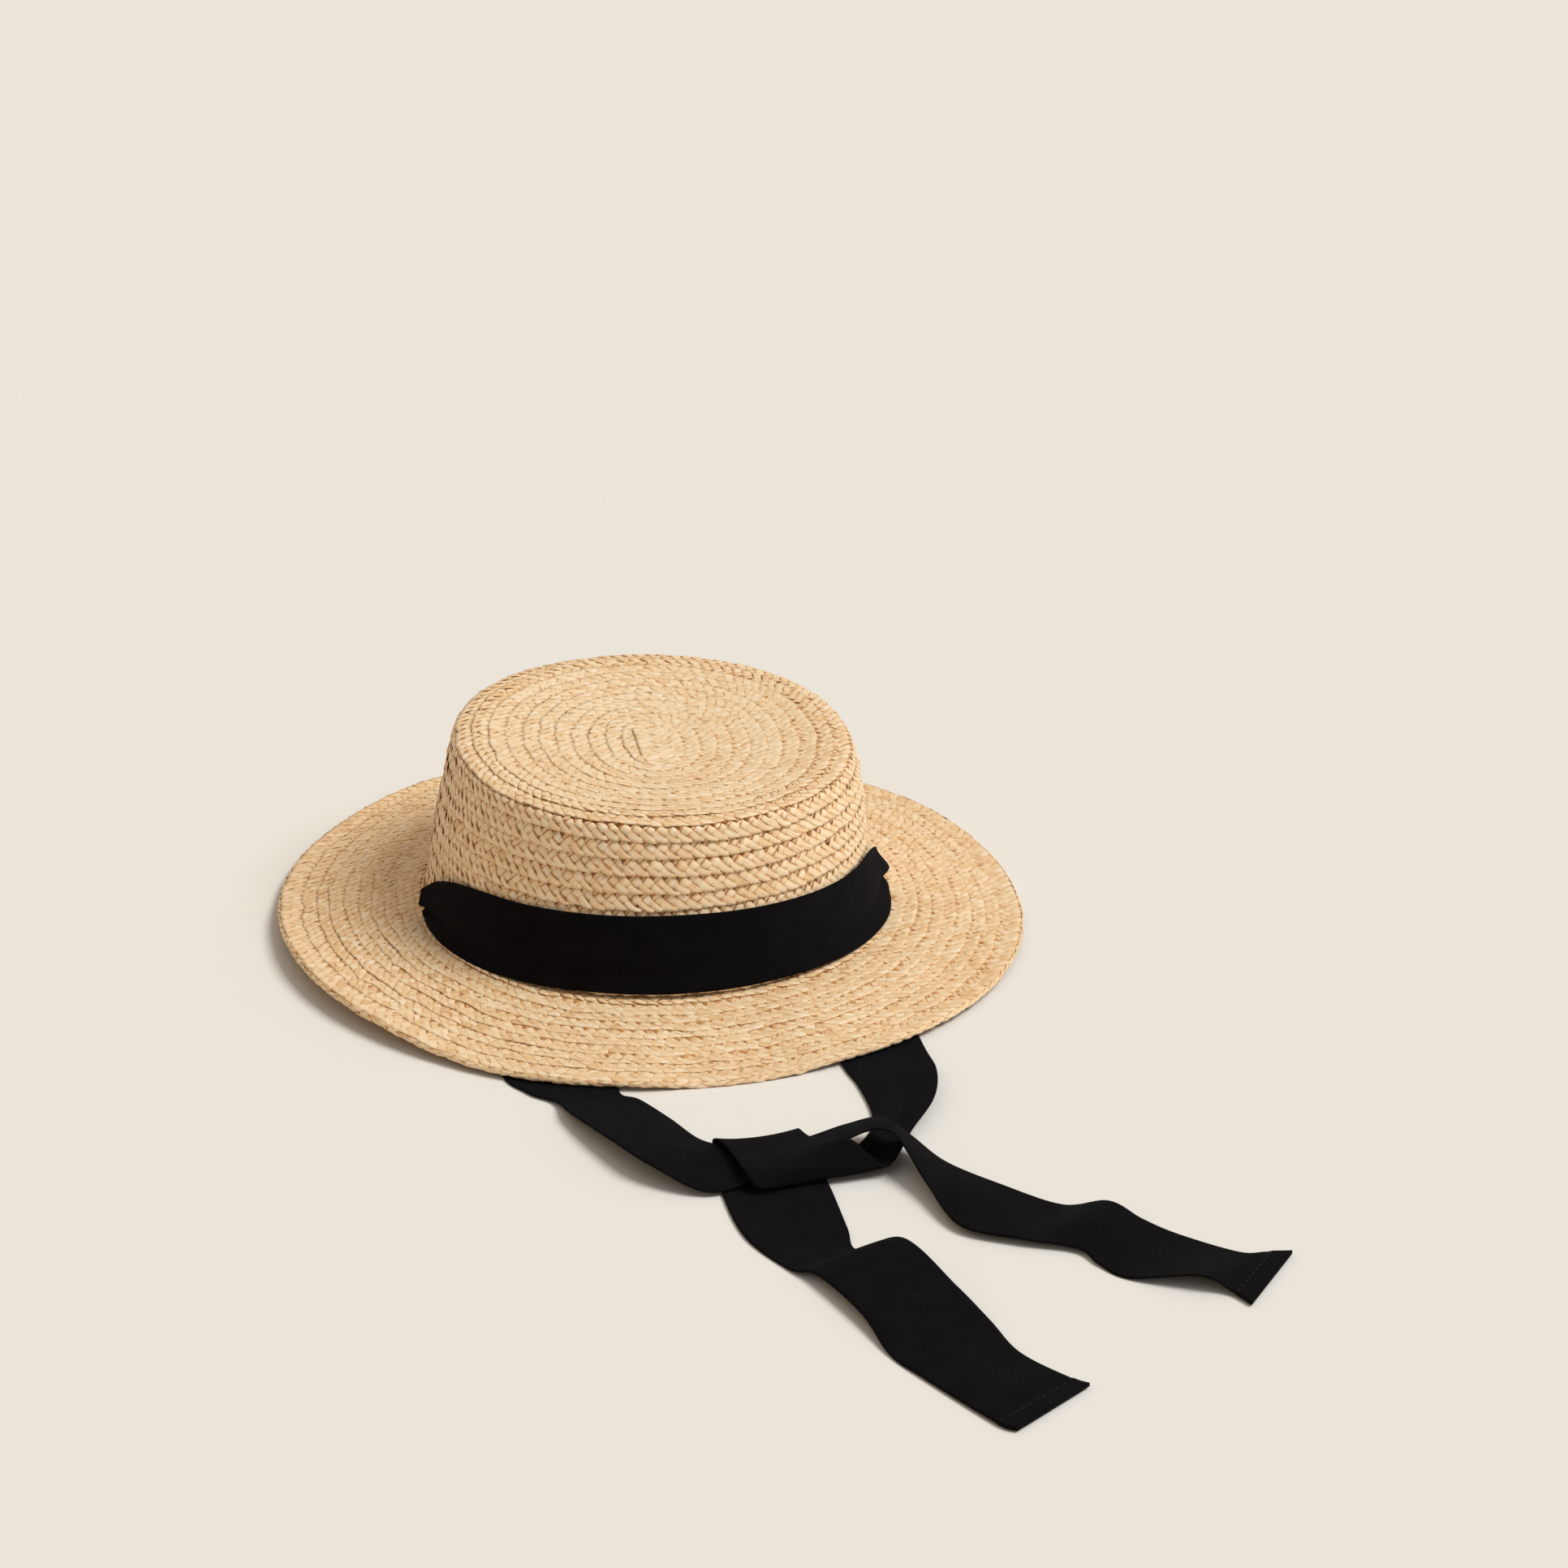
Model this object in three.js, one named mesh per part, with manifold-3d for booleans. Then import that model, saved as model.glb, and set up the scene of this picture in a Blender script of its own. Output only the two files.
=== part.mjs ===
// Raffia hat: oval flat-topped crown, wide brim, and a tape band whose two ends are tied in a half knot.
// Millimetres, +Z up. The hat's front faces -Y and its brim rests on the plane z = 0.
import * as THREE from 'three';
import Module from 'manifold-3d';

// Straw: driving dimensions
const SEGMENTS = 48;          // facets round the oval
const CORE_HALF_LENGTH = 16;  // the straight start of the braid makes the hat longer than wide
const CORE_ROUNDING = 0.35;   // how full the oval's middle is, 0 for a straight line
const WALL = 2.4;             // two overlapping layers of braid
const ROW_STEP = 0.6;         // how far each row's lower edge stands over the next row
const STEP_RUN = 0.4;         // width of that small ledge
const TOP_ROWS = 11;
const SIDE_ROWS = 10;
const BRIM_ROWS = 10;
const GAP = 0.3;              // clearance between neighbouring pieces

// Crown outline from the middle of the top to its edge, then down the side; half is half the width
const TOP_PROFILE = [
  { half: 5.6, z: 73 },
  { half: 30, z: 73.8 },
  { half: 55, z: 75.4 },
  { half: 68, z: 76.4 },
  { half: 77.2, z: 75.3 },
];
const SIDE_PROFILE = [
  { half: 77.2, z: 75.3 },
  { half: 78.7, z: 71.4 },
  { half: 80.7, z: 64 },
  { half: 82.7, z: 54 },
  { half: 84.3, z: 43 },
  { half: 86.4, z: 30 },
  { half: 88.2, z: 18 },
  { half: 90.2, z: 10.3 },
];

// The crown leans to the right between two heights, and its top is a little higher at the left and the back
const LEAN = 1.4;
const LEAN_FROM = 34;
const LEAN_TO = 64;
const TILT_RIGHT = -0.0195;
const TILT_BACK = 0.0054;
const TILT_FROM = 55;
const TILT_TO = 73;

// Brim: its underside falls from the crown to the rim, which is lifted where the tapes pass
const BRIM_INNER_HALF = 87.8;
const BRIM_OUTER_HALF = 147.3;
const BRIM_WALL = 2.3;
const BRIM_INNER_Z = 10.3 - GAP - BRIM_WALL;
const BRIM_FALL = 1.25;       // above 1, the slope is steeper beside the crown
const FLAT_RIM = 0.88;        // from this share of its width outwards the brim is level
const UNDER_RINGS = [0, 0.15, 0.3, 0.45, 0.6, 0.75, 0.88, 1];
const RIM = [                 // height of its underside and extra reach round the oval, 270 degrees is the front
  { deg: 0, lift: 0.6, reach: -0.9 },
  { deg: 12, lift: 0.2, reach: -0.9 },
  { deg: 30, lift: 0.4, reach: 0 },
  { deg: 60, lift: 0, reach: 0 },
  { deg: 100, lift: 0, reach: 0 },
  { deg: 123, lift: 3.7, reach: 0 },
  { deg: 135, lift: 2.8, reach: 0 },
  { deg: 146, lift: 2.2, reach: 0 },
  { deg: 158, lift: 2.5, reach: 0 },
  { deg: 170, lift: 3.2, reach: 0 },
  { deg: 181, lift: 5.5, reach: 0 },
  { deg: 191, lift: 7, reach: 0 },
  { deg: 205, lift: 6.7, reach: 0 },
  { deg: 215, lift: 6, reach: 0 },
  { deg: 221, lift: 4.7, reach: 0.3 },
  { deg: 228, lift: 2.9, reach: 0.8 },
  { deg: 236, lift: 1.8, reach: 1.8 },
  { deg: 245, lift: 1.6, reach: 2.5 },
  { deg: 260, lift: 1.6, reach: 2 },
  { deg: 269, lift: 0, reach: 0.3 },
  { deg: 280, lift: 0, reach: 0 },
  { deg: 290, lift: 1.8, reach: 0 },
  { deg: 308, lift: 2.2, reach: 0 },
  { deg: 325, lift: 1.8, reach: 0 },
  { deg: 336, lift: 2.3, reach: 0 },
  { deg: 347, lift: 1.8, reach: -0.3 },
];

// Tape: a slit at each side of the crown lets it through
const TAPE = 1;
const HEM = 1.8;
const HEM_LENGTH_ROWS = 1;
const LYING = 0.6;            // lowest height of the tape's middle where it lies on the surface
const SLIT_Y = -12;
const SLIT_LOW = 12.5;
const SLIT_HIGH = 29.5;
const SLIT_WIDTH = 2.4;
const SLIT_REACH = 14;
const TAPE_STEPS = 3;         // sections between two rows of a table
const TAPE_COLUMNS = 4;       // panels across the tape

// Band round the crown's front: its edges, and its distance from the straw at five places from the top down
const BAND_ACROSS = [0, 0.5, 0.7, 0.85, 1];
const BAND = [
  { deg: 185, low: 13.4, high: 22, edge: -1.2, ridge: -1.2, crease: -1.2, roll: -1.2, foot: -1.2 },
  { deg: 185.4, low: 12.6, high: 22.4, edge: 1.8, ridge: 2.4, crease: 1.4, roll: 2, foot: 1.6 },
  { deg: 186.6, low: 11.6, high: 23.2, edge: 6.2, ridge: 6.2, crease: 1.6, roll: 3.8, foot: 2.6 },
  { deg: 189, low: 10.7, high: 27.6, edge: 4.4, ridge: 5.8, crease: 2.1, roll: 3.5, foot: 2.7 },
  { deg: 192.5, low: 10.4, high: 31.6, edge: 2.8, ridge: 4.6, crease: 2.2, roll: 3.2, foot: 2.8 },
  { deg: 200, low: 10.4, high: 35.9, edge: 1.9, ridge: 3.4, crease: 2, roll: 2.8, foot: 3.1 },
  { deg: 212, low: 10.4, high: 39, edge: 1.7, ridge: 2.4, crease: 1.9, roll: 2.1, foot: 2.7 },
  { deg: 228, low: 10.9, high: 40.5, edge: 1.7, ridge: 1.9, crease: 1.8, roll: 1.8, foot: 2 },
  { deg: 246, low: 11.8, high: 41.6, edge: 1.7, ridge: 1.8, crease: 1.8, roll: 1.8, foot: 1.8 },
  { deg: 270, low: 12, high: 42.1, edge: 1.7, ridge: 1.8, crease: 1.8, roll: 1.8, foot: 1.8 },
  { deg: 294, low: 11.8, high: 41, edge: 1.7, ridge: 1.8, crease: 1.8, roll: 1.8, foot: 1.9 },
  { deg: 312, low: 11.1, high: 39.6, edge: 1.7, ridge: 1.9, crease: 1.8, roll: 1.9, foot: 2.6 },
  { deg: 328, low: 10.4, high: 38.1, edge: 1.7, ridge: 2.2, crease: 1.9, roll: 2.2, foot: 3.8 },
  { deg: 340, low: 10.4, high: 37.2, edge: 1.8, ridge: 2.7, crease: 2, roll: 2.9, foot: 5 },
  { deg: 347.5, low: 10.4, high: 33.8, edge: 2, ridge: 3.6, crease: 1.9, roll: 3.9, foot: 4.7 },
  { deg: 351.5, low: 11, high: 30.4, edge: 2.4, ridge: 5.9, crease: 1.4, roll: 4.6, foot: 4.2 },
  { deg: 353.6, low: 12.4, high: 27, edge: 2.4, ridge: 6, crease: 1.2, roll: 3.6, foot: 3 },
  { deg: 354.7, low: 13.4, high: 25.4, edge: 1.4, ridge: 2, crease: 1.2, roll: 1.6, foot: 1.4 },
  { deg: 355, low: 14, high: 25, edge: -1.2, ridge: -1.2, crease: -1.2, roll: -1.2, foot: -1.2 },
];

// Ties, a row for each bend or fold: the two selvedges and the bulge between them
// Left tie: slit, down inside, under the brim, through the knot and out to the right
const TIE_LEFT = [
  { lx: -86.9, ly: -12, lz: 14, rx: -84.6, ry: -12, rz: 28, bow: 0 },
  { lx: -81, ly: -13, lz: 11, rx: -81, ry: -13, rz: 28, bow: 0 },
  { lx: -73, ly: -20, lz: 5, rx: -76, ry: -21, rz: 28, bow: 0 },
  { lx: -58, ly: -40, lz: 1, rx: -67, ry: -45, rz: 14, bow: 0 },
  { lx: -52, ly: -64, lz: 1, rx: -72, ry: -72, rz: 4, bow: 0 },
  { lx: -40, ly: -122, lz: 0.7, rx: -75, ry: -133, rz: 0.8, bow: 0 },
  { lx: -33.5, ly: -149, lz: 0.7, rx: -67, ry: -154, rz: 0.8, bow: 0 },
  { lx: -33, ly: -162, lz: 1, rx: -57.5, ry: -165, rz: 1.6, bow: 0 },
  { lx: -27, ly: -167, lz: 0.9, rx: -54, ry: -182, rz: 5, bow: 0.5 },
  { lx: -18, ly: -184, lz: 0.8, rx: -43, ry: -211, rz: 8, bow: 1 },
  { lx: -10, ly: -203, lz: 1.4, rx: -32, ry: -232, rz: 8, bow: 1 },
  { lx: -1, ly: -212.5, lz: 3, rx: -12.7, ry: -245, rz: 2.2, bow: 0 },
  { lx: 12, ly: -214.5, lz: 3, rx: 10, ry: -237, rz: 3.2, bow: 0 },
  { lx: 26, ly: -211.5, lz: 3, rx: 28, ry: -227, rz: 4, bow: 0 },
  { lx: 42.5, ly: -208.5, lz: 6, rx: 47, ry: -225, rz: 11.2, bow: 0 },
  { lx: 55.5, ly: -210, lz: 8.5, rx: 54.8, ry: -234.5, rz: 14.5, bow: 1 },
  { lx: 63.5, ly: -220, lz: 6, rx: 58.6, ry: -244.4, rz: 11, bow: 1 },
  { lx: 73.4, ly: -236.2, lz: 2.5, rx: 62.3, ry: -259, rz: 6.5, bow: 1 },
  { lx: 89, ly: -257.3, lz: 3, rx: 69, ry: -285, rz: 3, bow: 1 },
  { lx: 108.2, ly: -272, lz: 0.9, rx: 87.6, ry: -297.7, rz: 3, bow: 0 },
  { lx: 122.5, ly: -281.2, lz: 6, rx: 106, ry: -306, rz: 2, bow: 1 },
  { lx: 132.5, ly: -289.6, lz: 2.5, rx: 111, ry: -316, rz: 1, bow: 0.5 },
  { lx: 143, ly: -300, lz: 1, rx: 119, ry: -327, rz: 0.8, bow: 0 },
  { lx: 160.4, ly: -315.6, lz: 0.9, rx: 140.7, ry: -338.6, rz: 6, bow: 0 },
  { lx: 169.5, ly: -317.6, lz: 1.2, rx: 150.7, ry: -343.4, rz: 2, bow: 0 },
  { lx: 178.4, ly: -319.1, lz: 1.4, rx: 155.6, ry: -351.9, rz: 1.2, bow: 0 },
];
// Right tie: slit, down inside, under the brim, over and under the left tie and out to the front
const TIE_RIGHT = [
  { lx: 84.6, ly: -12, lz: 28, rx: 86.9, ry: -12, rz: 14, bow: 0 },
  { lx: 81, ly: -13, lz: 28, rx: 81, ry: -13, rz: 11, bow: 0 },
  { lx: 76, ly: -21, lz: 28, rx: 73, ry: -20, rz: 5, bow: 0 },
  { lx: 67, ly: -45, lz: 14, rx: 58, ry: -40, rz: 1, bow: 0 },
  { lx: 74, ly: -72, lz: 4, rx: 53, ry: -64, rz: 1, bow: 0 },
  { lx: 82, ly: -98, lz: 1.6, rx: 51, ry: -94, rz: 0.8, bow: 0 },
  { lx: 84.2, ly: -141, lz: 0.8, rx: 51, ry: -146, rz: 0.7, bow: 0 },
  { lx: 83.8, ly: -167, lz: 4, rx: 54, ry: -168, rz: 0.8, bow: -1 },
  { lx: 77.8, ly: -191, lz: 5, rx: 55, ry: -190, rz: 0.8, bow: -1 },
  { lx: 66, ly: -212, lz: 4.2, rx: 52, ry: -205, rz: 1, bow: -2 },
  { lx: 57, ly: -232, lz: 4.6, rx: 42, ry: -222, rz: 2, bow: -1.5 },
  { lx: 51, ly: -241, lz: 5, rx: 28, ry: -240, rz: 2.6, bow: -1 },
  { lx: 46, ly: -238, lz: 8, rx: 13, ry: -246, rz: 2.8, bow: 0 },
  { lx: 40, ly: -232, lz: 12, rx: 4, ry: -248, rz: 4, bow: 0 },
  { lx: 33, ly: -225, lz: 9.5, rx: 1, ry: -241, rz: 6.4, bow: 0 },
  { lx: 28, ly: -217, lz: 6.4, rx: -1, ry: -228, rz: 6.2, bow: 0.5 },
  { lx: 25.5, ly: -208, lz: 5.2, rx: -4, ry: -212.5, rz: 5.2, bow: 1 },
  { lx: 25.5, ly: -204.5, lz: 2.9, rx: -6, ry: -207.2, rz: 3, bow: 1.8 },
  { lx: 26.5, ly: -207, lz: 0.8, rx: -6, ry: -211, rz: 0.8, bow: 0 },
  { lx: 30, ly: -240, lz: 0.7, rx: -8, ry: -243, rz: 0.7, bow: 0 },
  { lx: 31, ly: -276, lz: 0.7, rx: -5, ry: -277, rz: 0.7, bow: 0 },
  { lx: 31.5, ly: -293, lz: 1, rx: 6, ry: -302, rz: 0.8, bow: 0 },
  { lx: 45.5, ly: -304.8, lz: 10.5, rx: 14, ry: -314, rz: 4, bow: 1 },
  { lx: 58.5, ly: -333, lz: 6, rx: 24, ry: -342, rz: 4, bow: 1 },
  { lx: 66.2, ly: -352, lz: 2.5, rx: 29.4, ry: -365, rz: 0.8, bow: 1 },
  { lx: 72, ly: -372, lz: 1.2, rx: 37, ry: -381, rz: 0.8, bow: 1 },
  { lx: 85, ly: -391, lz: 1.2, rx: 55, ry: -414, rz: 1.2, bow: 0 },
  { lx: 90, ly: -396, lz: 1.4, rx: 61, ry: -420, rz: 1.4, bow: 0 },
];

const straw = new THREE.MeshStandardMaterial({ color: '#cfae7c', roughness: 0.8, metalness: 0 });
const blackTape = new THREE.MeshStandardMaterial({ color: '#16161a', roughness: 0.9, metalness: 0 });

// Point of the hat's oval: a thin ellipse widened evenly, so that every braid row has the same width
function ovalPoint(angle, half) {
  const c = Math.cos(angle);
  const s = Math.sin(angle);
  const root = Math.hypot(s, CORE_ROUNDING);
  const reach = half - CORE_HALF_LENGTH * CORE_ROUNDING + CORE_HALF_LENGTH * root;
  const slide = (CORE_HALF_LENGTH * s * c) / root;
  return new THREE.Vector2(reach * c - slide * s, reach * s + slide * c);
}

function radians(deg) {
  return THREE.MathUtils.degToRad(deg);
}

// Smooth periodic value round the oval from a table of angles
function roundTable(table, key, angle) {
  const deg = THREE.MathUtils.euclideanModulo(THREE.MathUtils.radToDeg(angle), 360);
  const last = table.length - 1;
  const i = deg >= table[last].deg ? last : table.findIndex((row) => row.deg > deg) - 1;
  const from = table[i];
  const to = table[(i + 1) % table.length];
  const span = THREE.MathUtils.euclideanModulo(to.deg - from.deg, 360);
  return THREE.MathUtils.lerp(from[key], to[key], THREE.MathUtils.smoothstep(deg - from.deg, 0, span));
}

// Closed body from rings of points: each ring joins the next, and the last joins the first or a pole closes it
function ringBody(rings, capped) {
  const positions = rings.flat().flatMap((p) => p.toArray());
  const indices = [];
  const count = rings.length;
  const joins = capped ? count - 1 : count;
  for (let i = 0; i < joins; i += 1) {
    const here = i * SEGMENTS;
    const there = ((i + 1) % count) * SEGMENTS;
    for (let k = 0; k < SEGMENTS; k += 1) {
      const next = (k + 1) % SEGMENTS;
      indices.push(here + k, there + k, there + next, here + k, there + next, here + next);
    }
  }
  if (capped) {
    for (const [ring, flip] of [[0, false], [count - 1, true]]) {
      const middle = positions.length / 3;
      const mean = rings[ring].reduce((sum, p) => sum.add(p), new THREE.Vector3()).divideScalar(SEGMENTS);
      positions.push(...mean.toArray());
      for (let k = 0; k < SEGMENTS; k += 1) {
        const a = ring * SEGMENTS + k;
        const b = ring * SEGMENTS + ((k + 1) % SEGMENTS);
        indices.push(...(flip ? [middle, b, a] : [middle, a, b]));
      }
    }
  }
  const body = new THREE.BufferGeometry();
  body.setAttribute('position', new THREE.Float32BufferAttribute(positions, 3));
  body.setIndex(indices);
  return body;
}

function ringOf(pointAt) {
  return Array.from({ length: SEGMENTS }, (_, k) => pointAt((2 * Math.PI * k) / SEGMENTS));
}

function ovalRing(half, z) {
  return ringOf((angle) => {
    const p = ovalPoint(angle, half);
    return new THREE.Vector3(p.x, p.y, z);
  });
}

// The crown stands slightly askew: a point of its even shape moved to where it is
function askew(p) {
  const up = THREE.MathUtils.smoothstep(p.z, TILT_FROM, TILT_TO);
  const x = p.x + LEAN * THREE.MathUtils.smoothstep(p.z, LEAN_FROM, LEAN_TO);
  return new THREE.Vector3(x, p.y, p.z + up * (TILT_RIGHT * x + TILT_BACK * p.y));
}

// Crown: outer face with a ledge at each braid row, plain inner face
function profileCurve(table) {
  return new THREE.SplineCurve(table.map((row) => new THREE.Vector2(row.half, row.z)));
}

function offsetPoint(curve, u, distance) {
  const p = curve.getPointAt(u);
  const t = curve.getTangentAt(u);
  return new THREE.Vector2(p.x - t.y * distance, p.y + t.x * distance);
}

function rowPoints(curve, rows) {
  const ledge = STEP_RUN / curve.getLength();
  const points = [];
  for (let row = 0; row < rows; row += 1) {
    points.push(offsetPoint(curve, row / rows + (row > 0 ? ledge : 0), 0));
    points.push(offsetPoint(curve, (row + 1) / rows, ROW_STEP));
  }
  return points;
}

function crownGeometry() {
  const top = profileCurve(TOP_PROFILE);
  const side = profileCurve(SIDE_PROFILE);
  const outer = [...rowPoints(top, TOP_ROWS), ...rowPoints(side, SIDE_ROWS).slice(1)];
  const inner = [
    ...[1, 0.85, 0.65, 0.45, 0.22, 0].map((u) => offsetPoint(side, u, -WALL)),
    ...[0.96, 0.8, 0.5, 0].map((u) => offsetPoint(top, u, -WALL)),
  ];
  inner[0].y = SIDE_PROFILE.at(-1).z;
  outer.at(-1).y = SIDE_PROFILE.at(-1).z;
  const rings = [...outer, ...inner].map((p) => ovalRing(p.x, p.y).map(askew));
  return ringBody(rings, true);
}

function manifoldOf(wasm, geometry) {
  return new wasm.Manifold(new wasm.Mesh({
    numProp: 3,
    vertProperties: new Float32Array(geometry.attributes.position.array),
    triVerts: new Uint32Array(geometry.index.array),
  }));
}

function geometryOf(solid) {
  const mesh = solid.getMesh();
  const geometry = new THREE.BufferGeometry();
  geometry.setAttribute('position', new THREE.BufferAttribute(new Float32Array(mesh.vertProperties), mesh.numProp));
  geometry.setIndex(new THREE.BufferAttribute(new Uint32Array(mesh.triVerts), 1));
  return geometry;
}

async function slitCrownGeometry() {
  const wasm = await Module();
  wasm.setup();
  let crown = manifoldOf(wasm, crownGeometry());
  for (const side of [-1, 1]) {
    const edge = ovalPoint(side < 0 ? Math.PI : 0, SIDE_PROFILE.at(-1).half).x;
    const slit = wasm.Manifold.cube([SLIT_REACH, SLIT_WIDTH, SLIT_HIGH - SLIT_LOW], true)
      .translate([edge, SLIT_Y, (SLIT_HIGH + SLIT_LOW) / 2]);
    crown = crown.subtract(slit);
  }
  return geometryOf(crown);
}

// Brim: level underside at the rim, sloping up to the crown, with a ledge at each braid row on top
function brimUnderside(share, angle) {
  const lift = roundTable(RIM, 'lift', angle);
  const slope = Math.max(0, 1 - share / FLAT_RIM) ** BRIM_FALL;
  return lift + (BRIM_INNER_Z - lift) * slope;
}

function brimGeometry() {
  const width = BRIM_OUTER_HALF - BRIM_INNER_HALF;
  const ringAt = (share, above) => ringOf((angle) => {
    const reach = share * (width + roundTable(RIM, 'reach', angle));
    const p = ovalPoint(angle, BRIM_INNER_HALF + reach);
    return new THREE.Vector3(p.x, p.y, brimUnderside(share, angle) + above);
  });
  const rings = [];
  for (let row = 0; row < BRIM_ROWS; row += 1) {
    const start = row / BRIM_ROWS + (row > 0 ? STEP_RUN / width : 0);
    rings.push(ringAt(start, BRIM_WALL));
    rings.push(ringAt((row + 1) / BRIM_ROWS, BRIM_WALL + (row > 0 ? ROW_STEP : 0)));
  }
  for (const share of [...UNDER_RINGS].reverse()) rings.push(ringAt(share, 0));
  return ringBody(rings, false);
}

// Tape: a strip of even thickness between two splined selvedges
function stripGeometry(sections, thicknessAt) {
  const columns = TAPE_COLUMNS + 1;
  const lefts = new THREE.CatmullRomCurve3(sections.map((s) => s.left), false, 'catmullrom', 0.5);
  const rights = new THREE.CatmullRomCurve3(sections.map((s) => s.right), false, 'catmullrom', 0.5);
  const stations = (sections.length - 1) * TAPE_STEPS + 1;
  const middle = [];
  for (let i = 0; i < stations; i += 1) {
    const t = i / (stations - 1);
    const left = lefts.getPoint(t);
    const right = rights.getPoint(t);
    const travel = lefts.getTangent(t).add(rights.getTangent(t));
    const face = new THREE.Vector3().subVectors(right, left).cross(travel).normalize();
    const row = Math.min(Math.floor(i / TAPE_STEPS), sections.length - 2);
    const bow = THREE.MathUtils.lerp(sections[row].bow, sections[row + 1].bow, i / TAPE_STEPS - row);
    for (let k = 0; k < columns; k += 1) {
      const f = k / TAPE_COLUMNS;
      const point = new THREE.Vector3().lerpVectors(left, right, f);
      point.addScaledVector(face, 4 * bow * f * (1 - f));
      point.z = Math.max(point.z, LYING);
      middle.push(point);
    }
  }
  return thickened(middle, stations, columns, thicknessAt);
}

function thickened(middle, stations, columns, thicknessAt) {
  const at = (i, k) => middle[i * columns + k];
  const positions = [];
  for (const side of [1, -1]) {
    for (let i = 0; i < stations; i += 1) {
      for (let k = 0; k < columns; k += 1) {
        const along = new THREE.Vector3().subVectors(
          at(Math.min(i + 1, stations - 1), k), at(Math.max(i - 1, 0), k));
        const across = new THREE.Vector3().subVectors(
          at(i, Math.min(k + 1, columns - 1)), at(i, Math.max(k - 1, 0)));
        const normal = across.cross(along).normalize();
        const half = thicknessAt(i / (stations - 1)) / 2;
        positions.push(...at(i, k).clone().addScaledVector(normal, side * half).toArray());
      }
    }
  }
  const indices = [];
  const under = stations * columns;
  const quad = (a, b, c, d) => indices.push(a, b, c, a, c, d);
  for (let i = 0; i < stations - 1; i += 1) {
    for (let k = 0; k < columns - 1; k += 1) {
      const a = i * columns + k;
      quad(a, a + 1, a + columns + 1, a + columns);
      quad(under + a, under + a + columns, under + a + columns + 1, under + a + 1);
    }
    const left = i * columns;
    const right = left + columns - 1;
    quad(left, left + columns, under + left + columns, under + left);
    quad(right, under + right, under + right + columns, right + columns);
  }
  for (let k = 0; k < columns - 1; k += 1) {
    const last = (stations - 1) * columns + k;
    quad(k, under + k, under + k + 1, k + 1);
    quad(last, last + 1, under + last + 1, under + last);
  }
  const strip = new THREE.BufferGeometry();
  strip.setAttribute('position', new THREE.Float32BufferAttribute(positions, 3));
  strip.setIndex(indices);
  return strip;
}

function bandGeometry() {
  const side = profileCurve(SIDE_PROFILE);
  const samples = side.getPoints(60);
  const halfAt = (z) => {
    const i = samples.findIndex((p) => p.y <= z);
    const from = samples[i - 1];
    return THREE.MathUtils.mapLinear(z, from.y, samples[i].y, from.x, samples[i].x);
  };
  const pointOf = (row, f) => {
    const z = THREE.MathUtils.lerp(row.high, row.low, f);
    const offs = [row.edge, row.ridge, row.crease, row.roll, row.foot];
    const p = ovalPoint(radians(row.deg), halfAt(z) + offs[BAND_ACROSS.indexOf(f)]);
    return askew(new THREE.Vector3(p.x, p.y, z));
  };
  const rails = BAND_ACROSS.map((f) => new THREE.CatmullRomCurve3(
    BAND.map((row) => pointOf(row, f)), false, 'catmullrom', 0.5));
  const stations = (BAND.length - 1) * TAPE_STEPS + 1;
  const middle = [];
  for (let i = 0; i < stations; i += 1) {
    for (const rail of rails) middle.push(rail.getPoint(i / (stations - 1)));
  }
  return thickened(middle, stations, rails.length, () => TAPE);
}

function tieGeometry(table) {
  const sections = table.map((row) => ({
    left: new THREE.Vector3(row.lx, row.ly, row.lz),
    right: new THREE.Vector3(row.rx, row.ry, row.rz),
    bow: row.bow,
  }));
  const hemStart = 1 - HEM_LENGTH_ROWS / (table.length - 1);
  return stripGeometry(sections, (t) => (t > hemStart ? HEM : TAPE));
}

function piece(name, geometry, material) {
  const mesh = new THREE.Mesh(geometry, material);
  mesh.name = name;
  return mesh;
}

const hat = new THREE.Group();
hat.add(piece('crown', await slitCrownGeometry(), straw));
hat.add(piece('brim', brimGeometry(), straw));
hat.add(piece('hat_band', bandGeometry(), blackTape));
hat.add(piece('tie_left', tieGeometry(TIE_LEFT), blackTape));
hat.add(piece('tie_right', tieGeometry(TIE_RIGHT), blackTape));

export default hat;
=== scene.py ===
import bpy
import numpy as np
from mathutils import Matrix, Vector


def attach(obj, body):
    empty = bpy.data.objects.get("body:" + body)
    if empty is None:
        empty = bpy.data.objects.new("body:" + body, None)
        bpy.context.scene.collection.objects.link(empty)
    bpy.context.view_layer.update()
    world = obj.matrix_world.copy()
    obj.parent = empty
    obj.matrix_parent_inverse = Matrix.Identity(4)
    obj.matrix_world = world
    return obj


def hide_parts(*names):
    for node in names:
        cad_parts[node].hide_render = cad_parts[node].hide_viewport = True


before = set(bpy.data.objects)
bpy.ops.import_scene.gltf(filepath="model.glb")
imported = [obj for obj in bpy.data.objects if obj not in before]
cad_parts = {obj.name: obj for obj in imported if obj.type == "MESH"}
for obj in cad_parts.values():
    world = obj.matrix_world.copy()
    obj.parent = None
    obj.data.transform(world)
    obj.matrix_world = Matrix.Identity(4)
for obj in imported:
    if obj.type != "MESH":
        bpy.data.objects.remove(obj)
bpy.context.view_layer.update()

MM = 0.001
SEED = 11

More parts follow.
